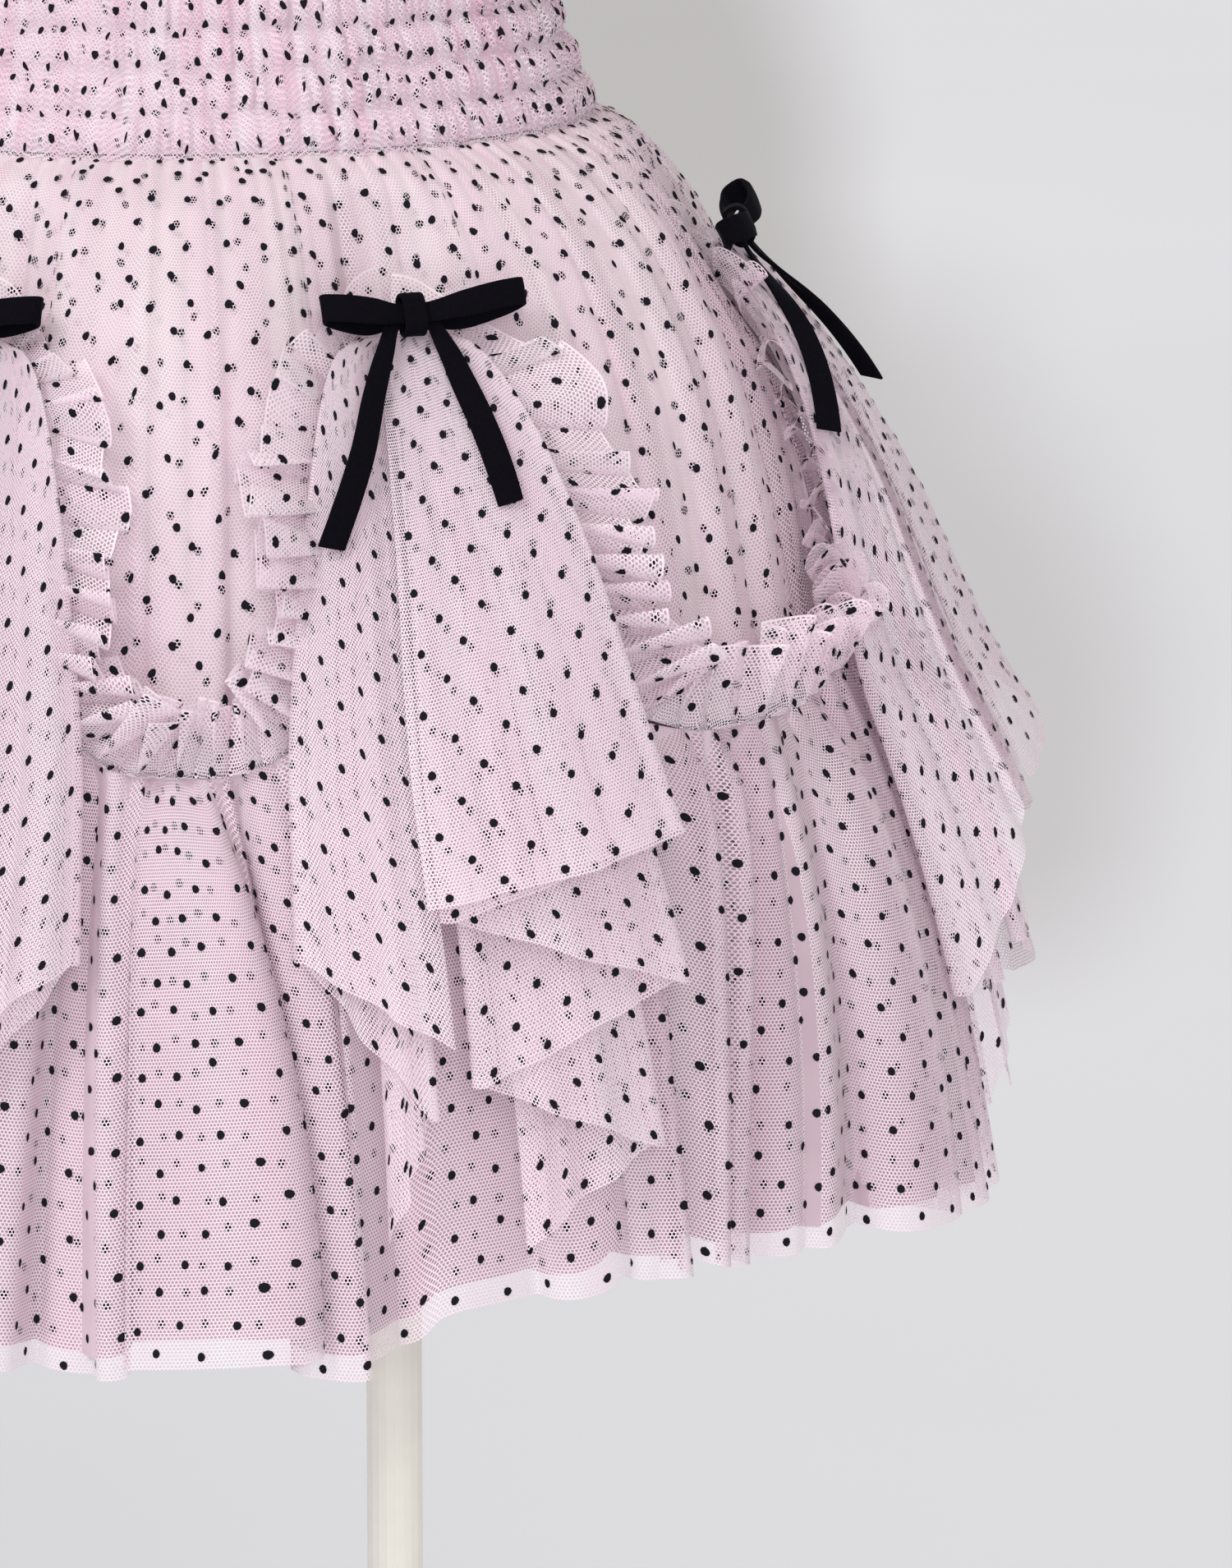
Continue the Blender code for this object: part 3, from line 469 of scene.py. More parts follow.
def dot_mesh(name, sheet, shift=(0.0, 0.0), sides=(1.0,), jitter=0.0004, seed=1):
    """Round flocked dots on a sheet, in the half-drop order of its flat cloth."""
    columns = sheet.points.shape[1]
    across, depth = [], []
    width = sheet.u[-1]
    for k in range(int(width / DOT_COLUMNS) + 1):
        u = (k + shift[0]) * DOT_COLUMNS
        if u > width - DOT_RADIUS or u < DOT_RADIUS:
            continue
        column = np.interp(u, sheet.u, np.arange(len(sheet.u)))
        c = int(column)
        t = column - c
        down = sheet.v[:, c % columns] * (1 - t) + sheet.v[:, (c + 1) % columns] * t
        half_drop = 0.5 * (k % 2) + shift[1]
        first = math.ceil((down[0] + DOT_EDGE_MARGIN) / DOT_ROWS - half_drop)
        last = math.floor((down[-1] - DOT_EDGE_MARGIN) / DOT_ROWS - half_drop)
        for n in range(first, last + 1):
            across.append(u)
            depth.append((n + half_drop) * DOT_ROWS)
    if not across:
        return None
    random = np.random.default_rng(seed)
    across = np.array(across) + random.normal(0, jitter, len(across))
    depth = np.array(depth) + random.normal(0, jitter, len(depth))
    count = len(across)
    row, column = place_on(sheet, across, depth)
    reach = 0.0008
    left = at(sheet, sheet.points, *place_on(sheet, across - reach, depth))
    right = at(sheet, sheet.points, *place_on(sheet, across + reach, depth))
    squeeze = np.linalg.norm(right - left, axis=1) / (2 * reach)
    wide = np.clip(DOT_LEAST_WIDTH / np.maximum(squeeze, 0.05), 1.0, DOT_MOST_STRETCH)
    turn = np.arange(DOT_SIDES) * math.tau / DOT_SIDES
    uneven = 1 + 0.05 * np.sin(3 * turn[None, :] + 40 * across[:, None]) + random.normal(0, 0.03, (count, 1))
    u = across[:, None] + DOT_RADIUS * uneven * np.cos(turn) * wide[:, None]
    v = depth[:, None] + DOT_RADIUS * uneven * np.sin(turn)
    row_rim, column_rim = place_on(sheet, u.ravel(), v.ravel())
    normal = outward(sheet)
    base = np.arange(count)[:, None] * DOT_SIDES
    k = np.arange(DOT_SIDES)[None, :]
    tip = np.repeat(count * DOT_SIDES + np.arange(count), DOT_SIDES).reshape(count, DOT_SIDES)
    fan = np.stack([base + k, base + (k + 1) % DOT_SIDES, tip], axis=-1).reshape(-1, 3)
    points, faces = [], []
    for number, side in enumerate(sides):
        rise, crown = side * DOT_LIFT, 2 * side * DOT_LIFT
        rim = at(sheet, sheet.points, row_rim, column_rim) + rise * at(sheet, normal, row_rim, column_rim)
        middle = at(sheet, sheet.points, row, column) + crown * at(sheet, normal, row, column)
        points += [rim, middle]
        faces.append((fan if side > 0 else fan[:, ::-1]) + number * count * (DOT_SIDES + 1))
    return mesh_of(name, np.concatenate(points), np.concatenate(faces))


class Nodes:
    """A short way to write a material's nodes."""

    def __init__(self, name):
        self.material = bpy.data.materials.new(name)
        self.material.use_nodes = True
        self.tree = self.material.node_tree
        self.shader = self.tree.nodes["Principled BSDF"]

    def add(self, kind, **settings):
        node = self.tree.nodes.new(kind)
        for key, value in settings.items():
            setattr(node, key, value)
        return node

    def link(self, output, socket):
        self.tree.links.new(output, socket)

    def math(self, operation, *values):
        """A math node on sockets or numbers."""
        node = self.add("ShaderNodeMath", operation=operation)
        for k, value in enumerate(values):
            if isinstance(value, (int, float)):
                node.inputs[k].default_value = value
            else:
                self.link(value, node.inputs[k])
        return node.outputs[0]

    def set(self, **values):
        for key, value in values.items():
            self.shader.inputs[key.replace("_", " ")].default_value = value

    def noise(self, vector, scale, detail):
        """A noise texture on a vector."""
        noise = self.add("ShaderNodeTexNoise")
        noise.inputs["Scale"].default_value = scale
        noise.inputs["Detail"].default_value = detail
        self.link(vector, noise.inputs["Vector"])
        return noise.outputs["Fac"]

    def tones(self, noise, low, high, low_at=0.0, high_at=1.0):
        """The base colour, from one tone where the noise is low to another where it is high."""
        ramp = self.add("ShaderNodeValToRGB")
        for element, position, tone in zip(ramp.color_ramp.elements, (low_at, high_at), (low, high)):
            element.position = position
            element.color = (*tone, 1)
        self.link(ramp.outputs[0], self.shader.inputs["Base Color"])
        self.link(noise, ramp.inputs[0])
        return ramp.outputs[0]

    def bump(self, noise, strength, distance):
        """A fine relief from a noise."""
        bump = self.add("ShaderNodeBump")
        bump.inputs["Strength"].default_value = strength
        bump.inputs["Distance"].default_value = distance
        self.link(noise, bump.inputs["Height"])
        self.link(bump.outputs[0], self.shader.inputs["Normal"])


def dimmed(colour, shares):
    """A colour with each channel times a share."""
    return [min(1.0, channel * share) for channel, share in zip(colour, shares)]


def crowded(u, bunch, uneven, seed):
    """The flat cloth's widths, where gathers too fine to model take up more cloth here and less there."""
    steps = np.diff(u)
    wave = pleats(np.linspace(0, math.tau, len(steps)), 110, seed)
    return np.concatenate([[0.0], np.cumsum(steps * bunch * (1 + uneven * np.clip(wave, -1, 1)))])


def net_mask(nodes, pitch, hole, parts, density):
    """1 on the threads of a hexagonal net and 0 in its holes, from the cloth's own metres."""
    tall = math.sqrt(3) * pitch

    def cell(offset_x, offset_y):
        x = nodes.math("WRAP", nodes.math("ADD", parts.outputs[0], offset_x), pitch / 2, -pitch / 2)
        y = nodes.math("WRAP", nodes.math("ADD", parts.outputs[1], offset_y), tall / 2, -tall / 2)
        ax, ay = nodes.math("ABSOLUTE", x), nodes.math("ABSOLUTE", y)
        along, up = nodes.math("MULTIPLY", ax, 0.5), nodes.math("MULTIPLY", ay, math.sqrt(3) / 2)
        slant = nodes.math("ADD", along, up)
        return nodes.math("MAXIMUM", ax, slant)

    nearest = nodes.math("MINIMUM", cell(0.0, 0.0), cell(pitch / 2, tall / 2))
    return nodes.math("GREATER_THAN", nearest, nodes.math("MULTIPLY", density, hole * pitch / 2))


def tulle(name, colour, hole, gathers, streaks, edge=0.0):
    """Fine hexagonal net of soft thread, which lets some light through. Where gathers too fine to model crowd
    it, it is denser, in streaks that run down the cloth. The streaks' colour also holds painted shade, darker
    and pinker where the gathers crowd, and a painted highlight, lighter and whiter, between them. The edge is
    the width of a strip without holes along the cloth's free edge."""
    nodes = Nodes(name)
    place = nodes.add("ShaderNodeUVMap", uv_map="cloth")
    parts = nodes.add("ShaderNodeSeparateXYZ")
    nodes.link(place.outputs[0], parts.inputs[0])
    stretch = nodes.add("ShaderNodeCombineXYZ")
    nodes.link(nodes.math("MULTIPLY", parts.outputs[0], gathers), stretch.inputs[0])
    nodes.link(nodes.math("MULTIPLY", parts.outputs[1], gathers / STREAK_LENGTH), stretch.inputs[1])
    noise = nodes.noise(stretch.outputs[0], 1.0, 3.0)
    spread = nodes.math("MULTIPLY", nodes.math("SUBTRACT", noise, 0.5), -2.0 * streaks)
    mask = net_mask(nodes, NET_PITCH, hole, parts, nodes.math("ADD", spread, 1.0))
    if edge:
        mask = nodes.math("MAXIMUM", mask, nodes.math("LESS_THAN", parts.outputs[1], edge))
    # Painted highlight, lighter and whiter, on the ridges of the fine gathers, and painted shade, darker and
    # pinker, in their creases, where the denser net's own tone is pinker too
    light = dimmed(colour, (1.0, 1.06, 1.03))
    crowded_and_shaded_tone = dimmed(colour, [1 - streaks * share for share in (0.20, 0.90, 0.55)])
    tone = nodes.tones(noise, light, crowded_and_shaded_tone, 0.35, 0.70)
    nodes.set(Roughness=0.55, Sheen_Weight=0.08, Sheen_Roughness=0.4, Specular_IOR_Level=0.3)
    lit = nodes.add("ShaderNodeBsdfTranslucent")
    nodes.link(tone, lit.inputs["Color"])
    cloth = nodes.add("ShaderNodeMixShader")
    cloth.inputs[0].default_value = LIGHT_THROUGH
    nodes.link(nodes.shader.outputs[0], cloth.inputs[1])
    nodes.link(lit.outputs[0], cloth.inputs[2])
    holes = nodes.add("ShaderNodeBsdfTransparent")
    net = nodes.add("ShaderNodeMixShader")
    nodes.link(mask, net.inputs[0])
    nodes.link(holes.outputs[0], net.inputs[1])
    nodes.link(cloth.outputs[0], net.inputs[2])
    output = next(n for n in nodes.tree.nodes if n.type == "OUTPUT_MATERIAL")
    nodes.link(net.outputs[0], output.inputs["Surface"])
    return nodes.material


def flock():
    """Black flocking."""
    nodes = Nodes("black_flock")
    noise = nodes.noise(nodes.add("ShaderNodeTexCoord").outputs["Object"], 4000.0, 2.0)
    nodes.tones(noise, (0.004, 0.004, 0.006), (0.016, 0.014, 0.022))
    nodes.set(Roughness=0.95, Specular_IOR_Level=0.1)
    return nodes.material


def velvet():
    """Black velvet: almost no light face on, and a faint grey bloom at its edges."""
    nodes = Nodes("black_velvet_pile")
    noise = nodes.noise(nodes.add("ShaderNodeTexCoord").outputs["Object"], 900.0, 4.0)
    nodes.tones(noise, (0.0015, 0.0013, 0.0025), (0.0050, 0.0042, 0.0075))
    nodes.bump(noise, 0.4, 0.0003)
    nodes.set(Roughness=0.9, Sheen_Weight=0.05, Sheen_Roughness=0.3, Sheen_Tint=(0.4, 0.42, 0.5, 1))
    nodes.set(Specular_IOR_Level=0.05)
    return nodes.material


def satin(name, colour, roughness=0.42):
    """Soft satin with a fine weave."""
    nodes = Nodes(name)
    place = nodes.add("ShaderNodeTexCoord").outputs["Object"]
    nodes.tones(nodes.noise(place, 25.0, 2.0), dimmed(colour, (0.96,) * 3), colour, 0.3, 0.7)
    nodes.bump(nodes.noise(place, 1800.0, 2.0), 0.15, 0.0002)
    nodes.set(Roughness=roughness, Sheen_Weight=0.2)
    return nodes.material


def under_layer(name, colour):
    """A layer that lies under the net, drawn opaque: soft, matt and a little uneven. It is given a darker
    colour than the net's, as painted shade for the shade between the layers and inside the skirt.
    """
    nodes = Nodes(name)
    noise = nodes.noise(nodes.add("ShaderNodeTexCoord").outputs["Object"], 60.0, 0.0)
    nodes.tones(noise, dimmed(colour, (0.94,) * 3), colour, 0.3, 0.7)
    nodes.set(Roughness=0.9, Specular_IOR_Level=0.1)
    return nodes.material


def painted(name, colour, roughness, grain, bump_strength):
    """Cream paint or jersey with a little unevenness."""
    nodes = Nodes(name)
    noise = nodes.noise(nodes.add("ShaderNodeTexCoord").outputs["Object"], grain, 4.0)
    nodes.tones(noise, dimmed(colour, (0.93,) * 3), colour, 0.3, 0.7)
    nodes.bump(noise, bump_strength, 0.0003)
    nodes.set(Roughness=roughness)
    return nodes.material


# A net's hole is its width as a share of the mesh's pitch
TULLE = tulle("pink_tulle", (0.93, 0.785, 0.855), 0.69, gathers=45.0, streaks=0.08)
SHEER_TULLE = tulle("pink_tulle_sheer", (0.95, 0.82, 0.88), 0.80, gathers=110.0, streaks=0.16)
RUFFLE_TULLE = tulle("pink_tulle_ruffle", (0.96, 0.83, 0.89), 0.68, gathers=45.0, streaks=0.08, edge=0.0007)
# The under layers are the same pink tulle as the net outside, coloured darker as painted shade: the shade
# between the layers and inside the skirt
SHADED_UNDER_TULLE = under_layer("pink_tulle_under", (0.59, 0.45, 0.505))
SHADED_TIER_UNDER = under_layer("pink_tier_under", (0.72, 0.61, 0.645))
SHADED_INNER_TULLE = under_layer("pink_tulle_inner", (0.70, 0.57, 0.63))
# The gathered band's net is a darker copy of the pink tulle: partly the crowded net's own deeper pink, partly
# painted shade among the dense gathers
DENSE_SHADED_TULLE = tulle("pink_tulle_gathered", (0.86, 0.745, 0.80), 0.66, gathers=170.0, streaks=0.30)
FLOCK = flock()
VELVET = velvet()
SATIN = satin("pink_satin", (0.95, 0.86, 0.88))
CASING = satin("band_casing", (0.83, 0.69, 0.755), roughness=0.6)
PAINT = painted("cream_paint", (0.85, 0.82, 0.73), 0.35, 60.0, 0.05)
JERSEY = painted("cream_jersey", (0.80, 0.77, 0.70), 0.8, 1500.0, 0.3)


def dotted(
    name, sheet, material, shift, replaces=(), bunch=1.0, uneven=0.0, jitter=0.0004,
    sides=(1.0,),
):
    """One layer of dotted cloth: its net, mapped in the flat cloth's metres, and its dots. A bunch over 1
    brings the dots closer together across it, where gathers too fine to model take up cloth."""
    cloth = sheet_piece(name, sheet, material)
    if replaces:
        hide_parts(*replaces)
    bunched = sheet._replace(u=crowded(sheet.u, bunch, uneven, len(name)))
    mesh = dot_mesh(f"{name}_dots", bunched, shift, sides, jitter, seed=len(name))
    if mesh is not None:
        spots = piece(f"{name}_dots", mesh, FLOCK)
        spots.parent = cloth
    return cloth


def build_camera():
    """The camera that the photo was taken with, as far as it can be told."""
    lens = bpy.data.cameras.new("photo_camera")
    lens.lens = CAMERA_LENS
    lens.sensor_width = 36
    lens.clip_end = 200
    camera = bpy.data.objects.new("photo_camera", lens)
    camera.location = (0, -CAMERA_DISTANCE, SEAM_HEIGHT + CAMERA_ABOVE_SEAM)
    camera.rotation_euler = Euler((math.radians(90 - CAMERA_DOWN), 0, math.radians(-CAMERA_RIGHT)), "XYZ")
    bpy.context.scene.collection.objects.link(camera)
    bpy.context.scene.camera = camera


def lamp(name, rotation, energy, angle):
    """A lamp of parallel light from a source this many degrees wide."""
    light = bpy.data.lights.new(name, "SUN")
    light.energy = energy
    light.angle = math.radians(angle)
    thing = bpy.data.objects.new(name, light)
    thing.rotation_euler = Euler([math.radians(a) for a in rotation], "XYZ")
    bpy.context.scene.collection.objects.link(thing)
    return thing


def build_studio():
    """A plain pale floor, soft light from the left, and low lights that throw the skirt's floor shadow."""
    floor = bpy.data.meshes.new("floor")
    half = 40.0
    corners = [(-half, -half, 0), (half, -half, 0), (half, half, 0), (-half, half, 0)]
    floor.from_pydata(corners, [], [(0, 1, 2, 3)])
    ground = bpy.data.objects.new("floor", floor)
    bpy.context.scene.collection.objects.link(ground)
    floor.materials.append(painted("floor_grey", (0.370, 0.344, 0.334), 0.9, 0.5, 0.0))
    world = bpy.data.worlds.new("studio")
    bpy.context.scene.world = world
    world.use_nodes = True
    world.node_tree.nodes["Background"].inputs[0].default_value = (1.0, 0.975, 0.965, 1)
    world.node_tree.nodes["Background"].inputs[1].default_value = 0.62
    lamp("key", (48, 0, -42), 1.35, 18)
    lamp("front", (66, 0, 4), 0.78, 16)
    stage_only = bpy.data.collections.new("stage_only")
    stage_only.objects.link(ground)
    casters = bpy.data.collections.new("casters")
    for thing in bpy.data.objects:
        if thing.type == "MESH" and thing != ground and not thing.name.startswith(("pole", "base")):
            casters.objects.link(thing)
    for name, rotation, energy, angle in (
        ("lowest", (83.3, 0, -3.0), 18.0, 1.3), ("low", (78.5, 0, -6.0), 7.5, 2.0),
    ):
        shadow = lamp(name, rotation, energy, angle)
        shadow.data.color = (0.80, 0.90, 1.0)
        shadow.light_linking.receiver_collection = stage_only
        shadow.light_linking.blocker_collection = casters
    bpy.context.scene.view_settings.view_transform = "Standard"


def build_waistband():
    """Rows of gathered casing with a stitched line between them."""
    per_row = BAND_STEPS_PER_ROW
    angles = np.arange(BAND_COLUMNS) * math.tau / BAND_COLUMNS
    outside, under = [], []
    total = BAND_ROWS * per_row
    for k in range(total + 1):
        row = min(k // per_row, BAND_ROWS - 1)
        share = k / per_row - row
        taper = BAND_TAPER[row] * (1 - share) + BAND_TAPER[row + 1] * share
        puff = abs(math.sin(math.pi * share)) ** 0.6
        lean = 0.012 * (share - 0.5) * np.sin(17 * angles + 2 * row)
        drift = angles + 0.006 * np.sin(23 * angles + row) + lean
        gather = sum(
            height * pleats(drift, cycles, seed + row)
            for height, cycles, seed in ((0.40, 83, 10), (0.45, 131, 30), (0.40, 227, 50))
        )
        strength = 0.80 + 0.5 * np.sin(11 * angles + 1.7 * row) * np.sin(29 * angles)
        wave = (0.0003 + 0.0017 * puff) * gather * strength
        stitch = (0.0009 * np.sin(31 * angles + 2 * row) + 0.0006 * np.sin(77 * angles)) * (1 - puff)
        height = SEAM_HEIGHT + 0.0002 + k * BAND_ROW_HEIGHT / per_row
        outside.append(oval(angles, taper + 0.0008 + 0.0022 * puff + wave, height + stitch * (k > 0)))
        under.append(oval(angles, taper - 0.0010 + 0.0018 * puff + 0.8 * wave, height + stitch * (k > 0)))
    outside.insert(0, oval(angles, 0.0016, SEAM_HEIGHT - 0.0022 + 0.0008 * np.sin(31 * angles)))
    outside, under = outside[::-1], under[::-1]
    top = SEAM_HEIGHT + 0.0002 + BAND_ROWS * BAND_ROW_HEIGHT
    inside = [oval(angles, BAND_TAPER[-1] - 0.004, top)]
    for row in range(BAND_ROWS, -1, -1):
        inside.append(oval(angles, BAND_TAPER[row] - 0.0045, SEAM_HEIGHT + 0.0002 + row * BAND_ROW_HEIGHT))
    casing = sheet_of(np.array(inside[::-1] + under[::2]), True)
    band = sheet_of(np.array(outside), True)
    lining = sheet_piece("waistband_casing", casing, CASING)
    under = sheet_of(np.array(under), True)
    inner = under._replace(u=crowded(band.u, 1.9, 0.6, 3))
    mesh = dot_mesh("waistband_under_dots", inner, (0.7, 0.6), jitter=0.0018)
    spots = piece("waistband_under_dots", mesh, FLOCK)
    spots.parent = lining
    dotted(
        "waistband_tulle", band, DENSE_SHADED_TULLE, (0.3, 0.2), replaces=["waistband"],
        bunch=2.1, uneven=0.6, jitter=0.0020,
    )


def build_lining():
    """The satin tube inside the skirt, with a few soft creases."""
    angles = np.arange(LINING_COLUMNS) * math.tau / LINING_COLUMNS
    rows = []
    for drop in np.linspace(0.0003, LINING_DROP, LINING_ROWS):
        share = drop / LINING_DROP
        ripple = LINING_RIPPLE_DEPTH * share * np.sin(LINING_RIPPLES * angles + np.sin(3 * angles))
        gathers = 0.0012 * math.exp(-share * 5) * pleats(angles, 90, 5)
        creases = 0.0010 * share * pleats(angles, 31, 6)
        spread = smooth(LINING_PROFILE, drop) + ripple + (gathers + creases)
        rows.append(oval(angles, spread, SEAM_HEIGHT - drop))
    sheet = sheet_of(np.array(rows), True)
    cloth = sheet_piece("lining_satin", sheet, SATIN)
    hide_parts("lining")


ANGLES, SEAM = seam_columns(TIER_COLUMNS)


def build_tiers():
    """The upper tier in two layers, and the flounce in three."""
    for name, depth, seed, shift, material in (
        ("upper_tier_tulle", 0.0, 50, (0.3, 0.1), SHEER_TULLE),
        ("upper_tier_under", -0.0045, 60, (0.8, 0.55), SHADED_TIER_UNDER),
    ):
        rows = []
        angles, seam = (values[:: 2 if depth else 1] for values in (ANGLES, SEAM))
        for share in np.linspace(0, 1, TIER_ROWS) ** 1.3:
            drop = 0.0009 + (seam - 0.0005 - 0.0009) * share
            tight = np.exp(-drop / 0.030)
            loosening = 0.0018 * (1 - tight) * np.exp(-drop / 0.15)
            fine = 0.0014 * tight * pleats(angles, 150, seed) + loosening * pleats(angles, 97, seed + 1)
            broad = 0.0030 * (1 - tight) * pleats(angles, 41, seed + 2)
            settle = 1 - 0.75 * share**6
            pull = depth * np.minimum(1, drop / 0.02)
            out, lean = folds(angles, share, 0.0)
            rows.append(skirt_point(angles + lean / SEAM_REACH, drop, out + (fine + broad) * settle + pull))
        sheet = sheet_of(np.array(rows), True, width_row=24)
        dotted(
            name, sheet, material, shift,
            replaces=["upper_tier"] if depth == 0 else (), bunch=1.12, uneven=0.6, jitter=0.0019,
        )
    for name, depth, seed, shift, material, shorter, bunch in (
        ("flounce_tulle", 0.0, 80, (0.15, 0.3), TULLE, 0.0, 1.0),
        ("flounce_under", -0.0050, 90, (0.65, 0.7), SHADED_UNDER_TULLE, 0.007, 1.04),
        ("flounce_lining", -0.0110, 95, (0.4, 0.1), SHADED_INNER_TULLE, 0.011, 0.93),
    ):
        rows = []
        angles, seam = (values[:: 2 if depth else 1] for values in (ANGLES, SEAM))
        hem = hem_drop(angles) + 0.0030 * pleats(angles, 23, 7)
        for share in np.linspace(0, 1, FLOUNCE_ROWS) ** 1.15:
            drop = seam + 0.0005 + (hem - shorter - seam - 0.0005) * share
            below = drop - seam
            tight = np.exp(-below / 0.018)
            loose = 1 - tight
            loosening = 0.0052 * np.exp(-below / 0.055) * loose
            fine = 0.0026 * tight * pleats(angles, 150, seed) + loosening * pleats(angles, 84, seed + 1)
            broad = 0.0030 * loose * pleats(angles, 29, seed + 2)
            pull = depth * np.minimum(1, below / 0.02)
            out, lean = folds(angles, 1.0, share)
            edge_out, edge_lean = fold_edges(angles, share)
            side = (lean + edge_lean + 0.4 * broad * np.sin(13 * angles)) / FLOUNCE_REACH
            angle = fold_warp(angles, share) + side
            rows.append(skirt_point(angle, drop, 0.8 * out + 1.25 * edge_out + fine + broad + pull))
        sheet = sheet_of(np.array(rows), True, from_hem=True)
        dotted(
            name, sheet, material, shift,
            replaces=["flounce"] if depth == 0 else (), bunch=bunch, uneven=0.35, jitter=0.0011,
        )


def seam_route(start, end, count):
    """Evenly spaced points along the seam: angle, drop, reach, the way off the flounce, and the length."""
    wrapped = np.concatenate([ANGLES - math.tau, ANGLES, ANGLES + math.tau])
    drops_all = np.concatenate([SEAM, SEAM, SEAM])
    order = np.argsort(wrapped)
    fine = np.linspace(start, end, 3000)
    drops = np.interp(fine, wrapped[order], drops_all[order])
    scale = metres_per_radian(fine, smooth(SKIRT_PROFILE, drops))
    step = np.hypot(np.diff(fine) * scale[1:], np.diff(drops))
    length = np.concatenate([[0.0], np.cumsum(step)])
    place = np.linspace(0.0, length[-1], count)
    angle, drop = np.interp(place, length, fine), np.interp(place, length, drops)
    along = np.interp(place, length, scale)
    across, down = np.gradient(angle) * along, np.gradient(drop)
    soft = np.ones(9) / 9
    across = np.convolve(np.pad(across, 4, mode="edge"), soft, mode="valid")
    down = np.convolve(np.pad(down, 4, mode="edge"), soft, mode="valid")
    size = np.hypot(across, down)
    return angle, drop, along, down / size, -across / size, length[-1]


def build_headings():
    """The curly ruffle over the seam between each pair of bows, which lies flat behind each bow."""
    for k, bow in enumerate(BOWS):
        after = BOWS[(k + 1) % len(BOWS)]
        end = after.angle + (math.tau if k + 1 == len(BOWS) else 0.0)
        route = seam_route(bow.angle + RUFFLE_END, end - RUFFLE_END, RUFFLE_COLUMNS)
        angle, drop, along, aside, away, length = route
        random = np.random.default_rng(200 + k)
        place = np.linspace(0, length, RUFFLE_COLUMNS)
        drift = sum(0.9 * np.sin(place * rate + random.uniform(0, math.tau)) for rate in (17.0, 41.0, 73.0))
        phase = place * math.tau / RUFFLE_LOOP + drift
        ends = np.clip((np.minimum(place, length - place) - 0.008) / 0.035, 0, 1)
        ends = ends * ends * (3 - 2 * ends)
        uneven = 1 + 0.35 * np.sin(place * 43 + k) + 0.25 * np.sin(place * 101 + 2 * k)
        strength = uneven * (0.10 + 0.90 * ends)
        height = 1 + 0.14 * np.sin(place * 83 + k) + 0.12 * np.sin(place * 211)
        tall = RUFFLE_TALL * height * (0.40 + 0.60 * ends)
        rows = []
        for share in np.linspace(0, 1, RUFFLE_ROWS):
            reach = tall * share
            slide = strength * (0.0044 * share**0.6 * np.sin(2 * phase + 0.8) + 0.0050 * share)
            curl = (0.0008 + 0.0070 * share**0.6) * (1 + np.sin(phase)) + 0.004 * share**2
            around = angle + (aside * reach - away * slide) / along
            down = drop + away * reach + aside * slide
            rows.append(skirt_point(around, down, 0.0040 + strength * curl))
        sheet = sheet_of(np.array(rows), False, width_row=5, from_hem=True)
        dotted(
            f"ruffle_{bow.name}_to_{after.name}", sheet, RUFFLE_TULLE, (0.2 + 0.1 * k, 0.35),
            replaces=[f"heading_{bow.name}_to_{after.name}"], jitter=0.0009,
            sides=(1.0, -1.0),
        )


def beside_bow(bow, across, drop, out):
    """Points on the skirt, measured across from a bow, and mirrored for the bows on the wearer's right."""
    scale = metres_per_radian(bow.angle, smooth(SKIRT_PROFILE, drop))
    return skirt_point(bow.angle + bow.side * across / scale, drop, out)


def cascade_row(turns, share, seed):
    """Across, out and hem drop along a cascade's folded path, part of the way down, with rounded turns."""
    spread = share**CASCADE_SPREADING
    random = np.random.default_rng(seed)
    places = [
        (
            turn.across_top + (turn.across_hem - turn.across_top) * spread,
            turn.out_top + (turn.out_hem - turn.out_top) * share,
            turn.hem_drop,
        )
        for turn in turns
    ]
    gap = 0.0006 + 0.0022 * share
    path = []
    for k, (before, after) in enumerate(zip(places, places[1:])):
        way = math.copysign(1, after[0] - before[0])
        start_out = before[1] - (gap if k else 0)
        end_out = after[1] + (gap if k + 2 < len(places) else 0)
        phases = random.uniform(0, math.tau, 4)
        for t in np.linspace(0, 1, 26):
            arch = math.sin(math.pi * t)
            crease = 2 * abs(math.sin(7 * t + 0.8 * math.sin(5 * t) + phases[0])) ** 0.8 - 1
            ripple = math.sin(23 * t + phases[1])
            belly = arch * (0.0012 + 0.0030 * share) * (1 if k % 2 == 0 else -0.3)
            creases = share**0.5 * arch**0.5 * (0.0016 * crease + 0.0005 * ripple)
            out = start_out + (end_out - start_out) * t + belly + creases
            lean = share**0.5 * arch * 0.0016 * math.sin(14 * t + phases[2])
            across = before[0] + (after[0] - before[0]) * t + lean
            path.append((across, out, before[2] + (after[2] - before[2]) * t))
        if k + 2 < len(places):
            for turn in (0.25, 0.5, 0.75):
                path.append((
                    after[0] + way * gap * math.sin(math.pi * turn),
                    after[1] + gap * math.cos(math.pi * turn),
                    after[2],
                ))
    return np.array(path)


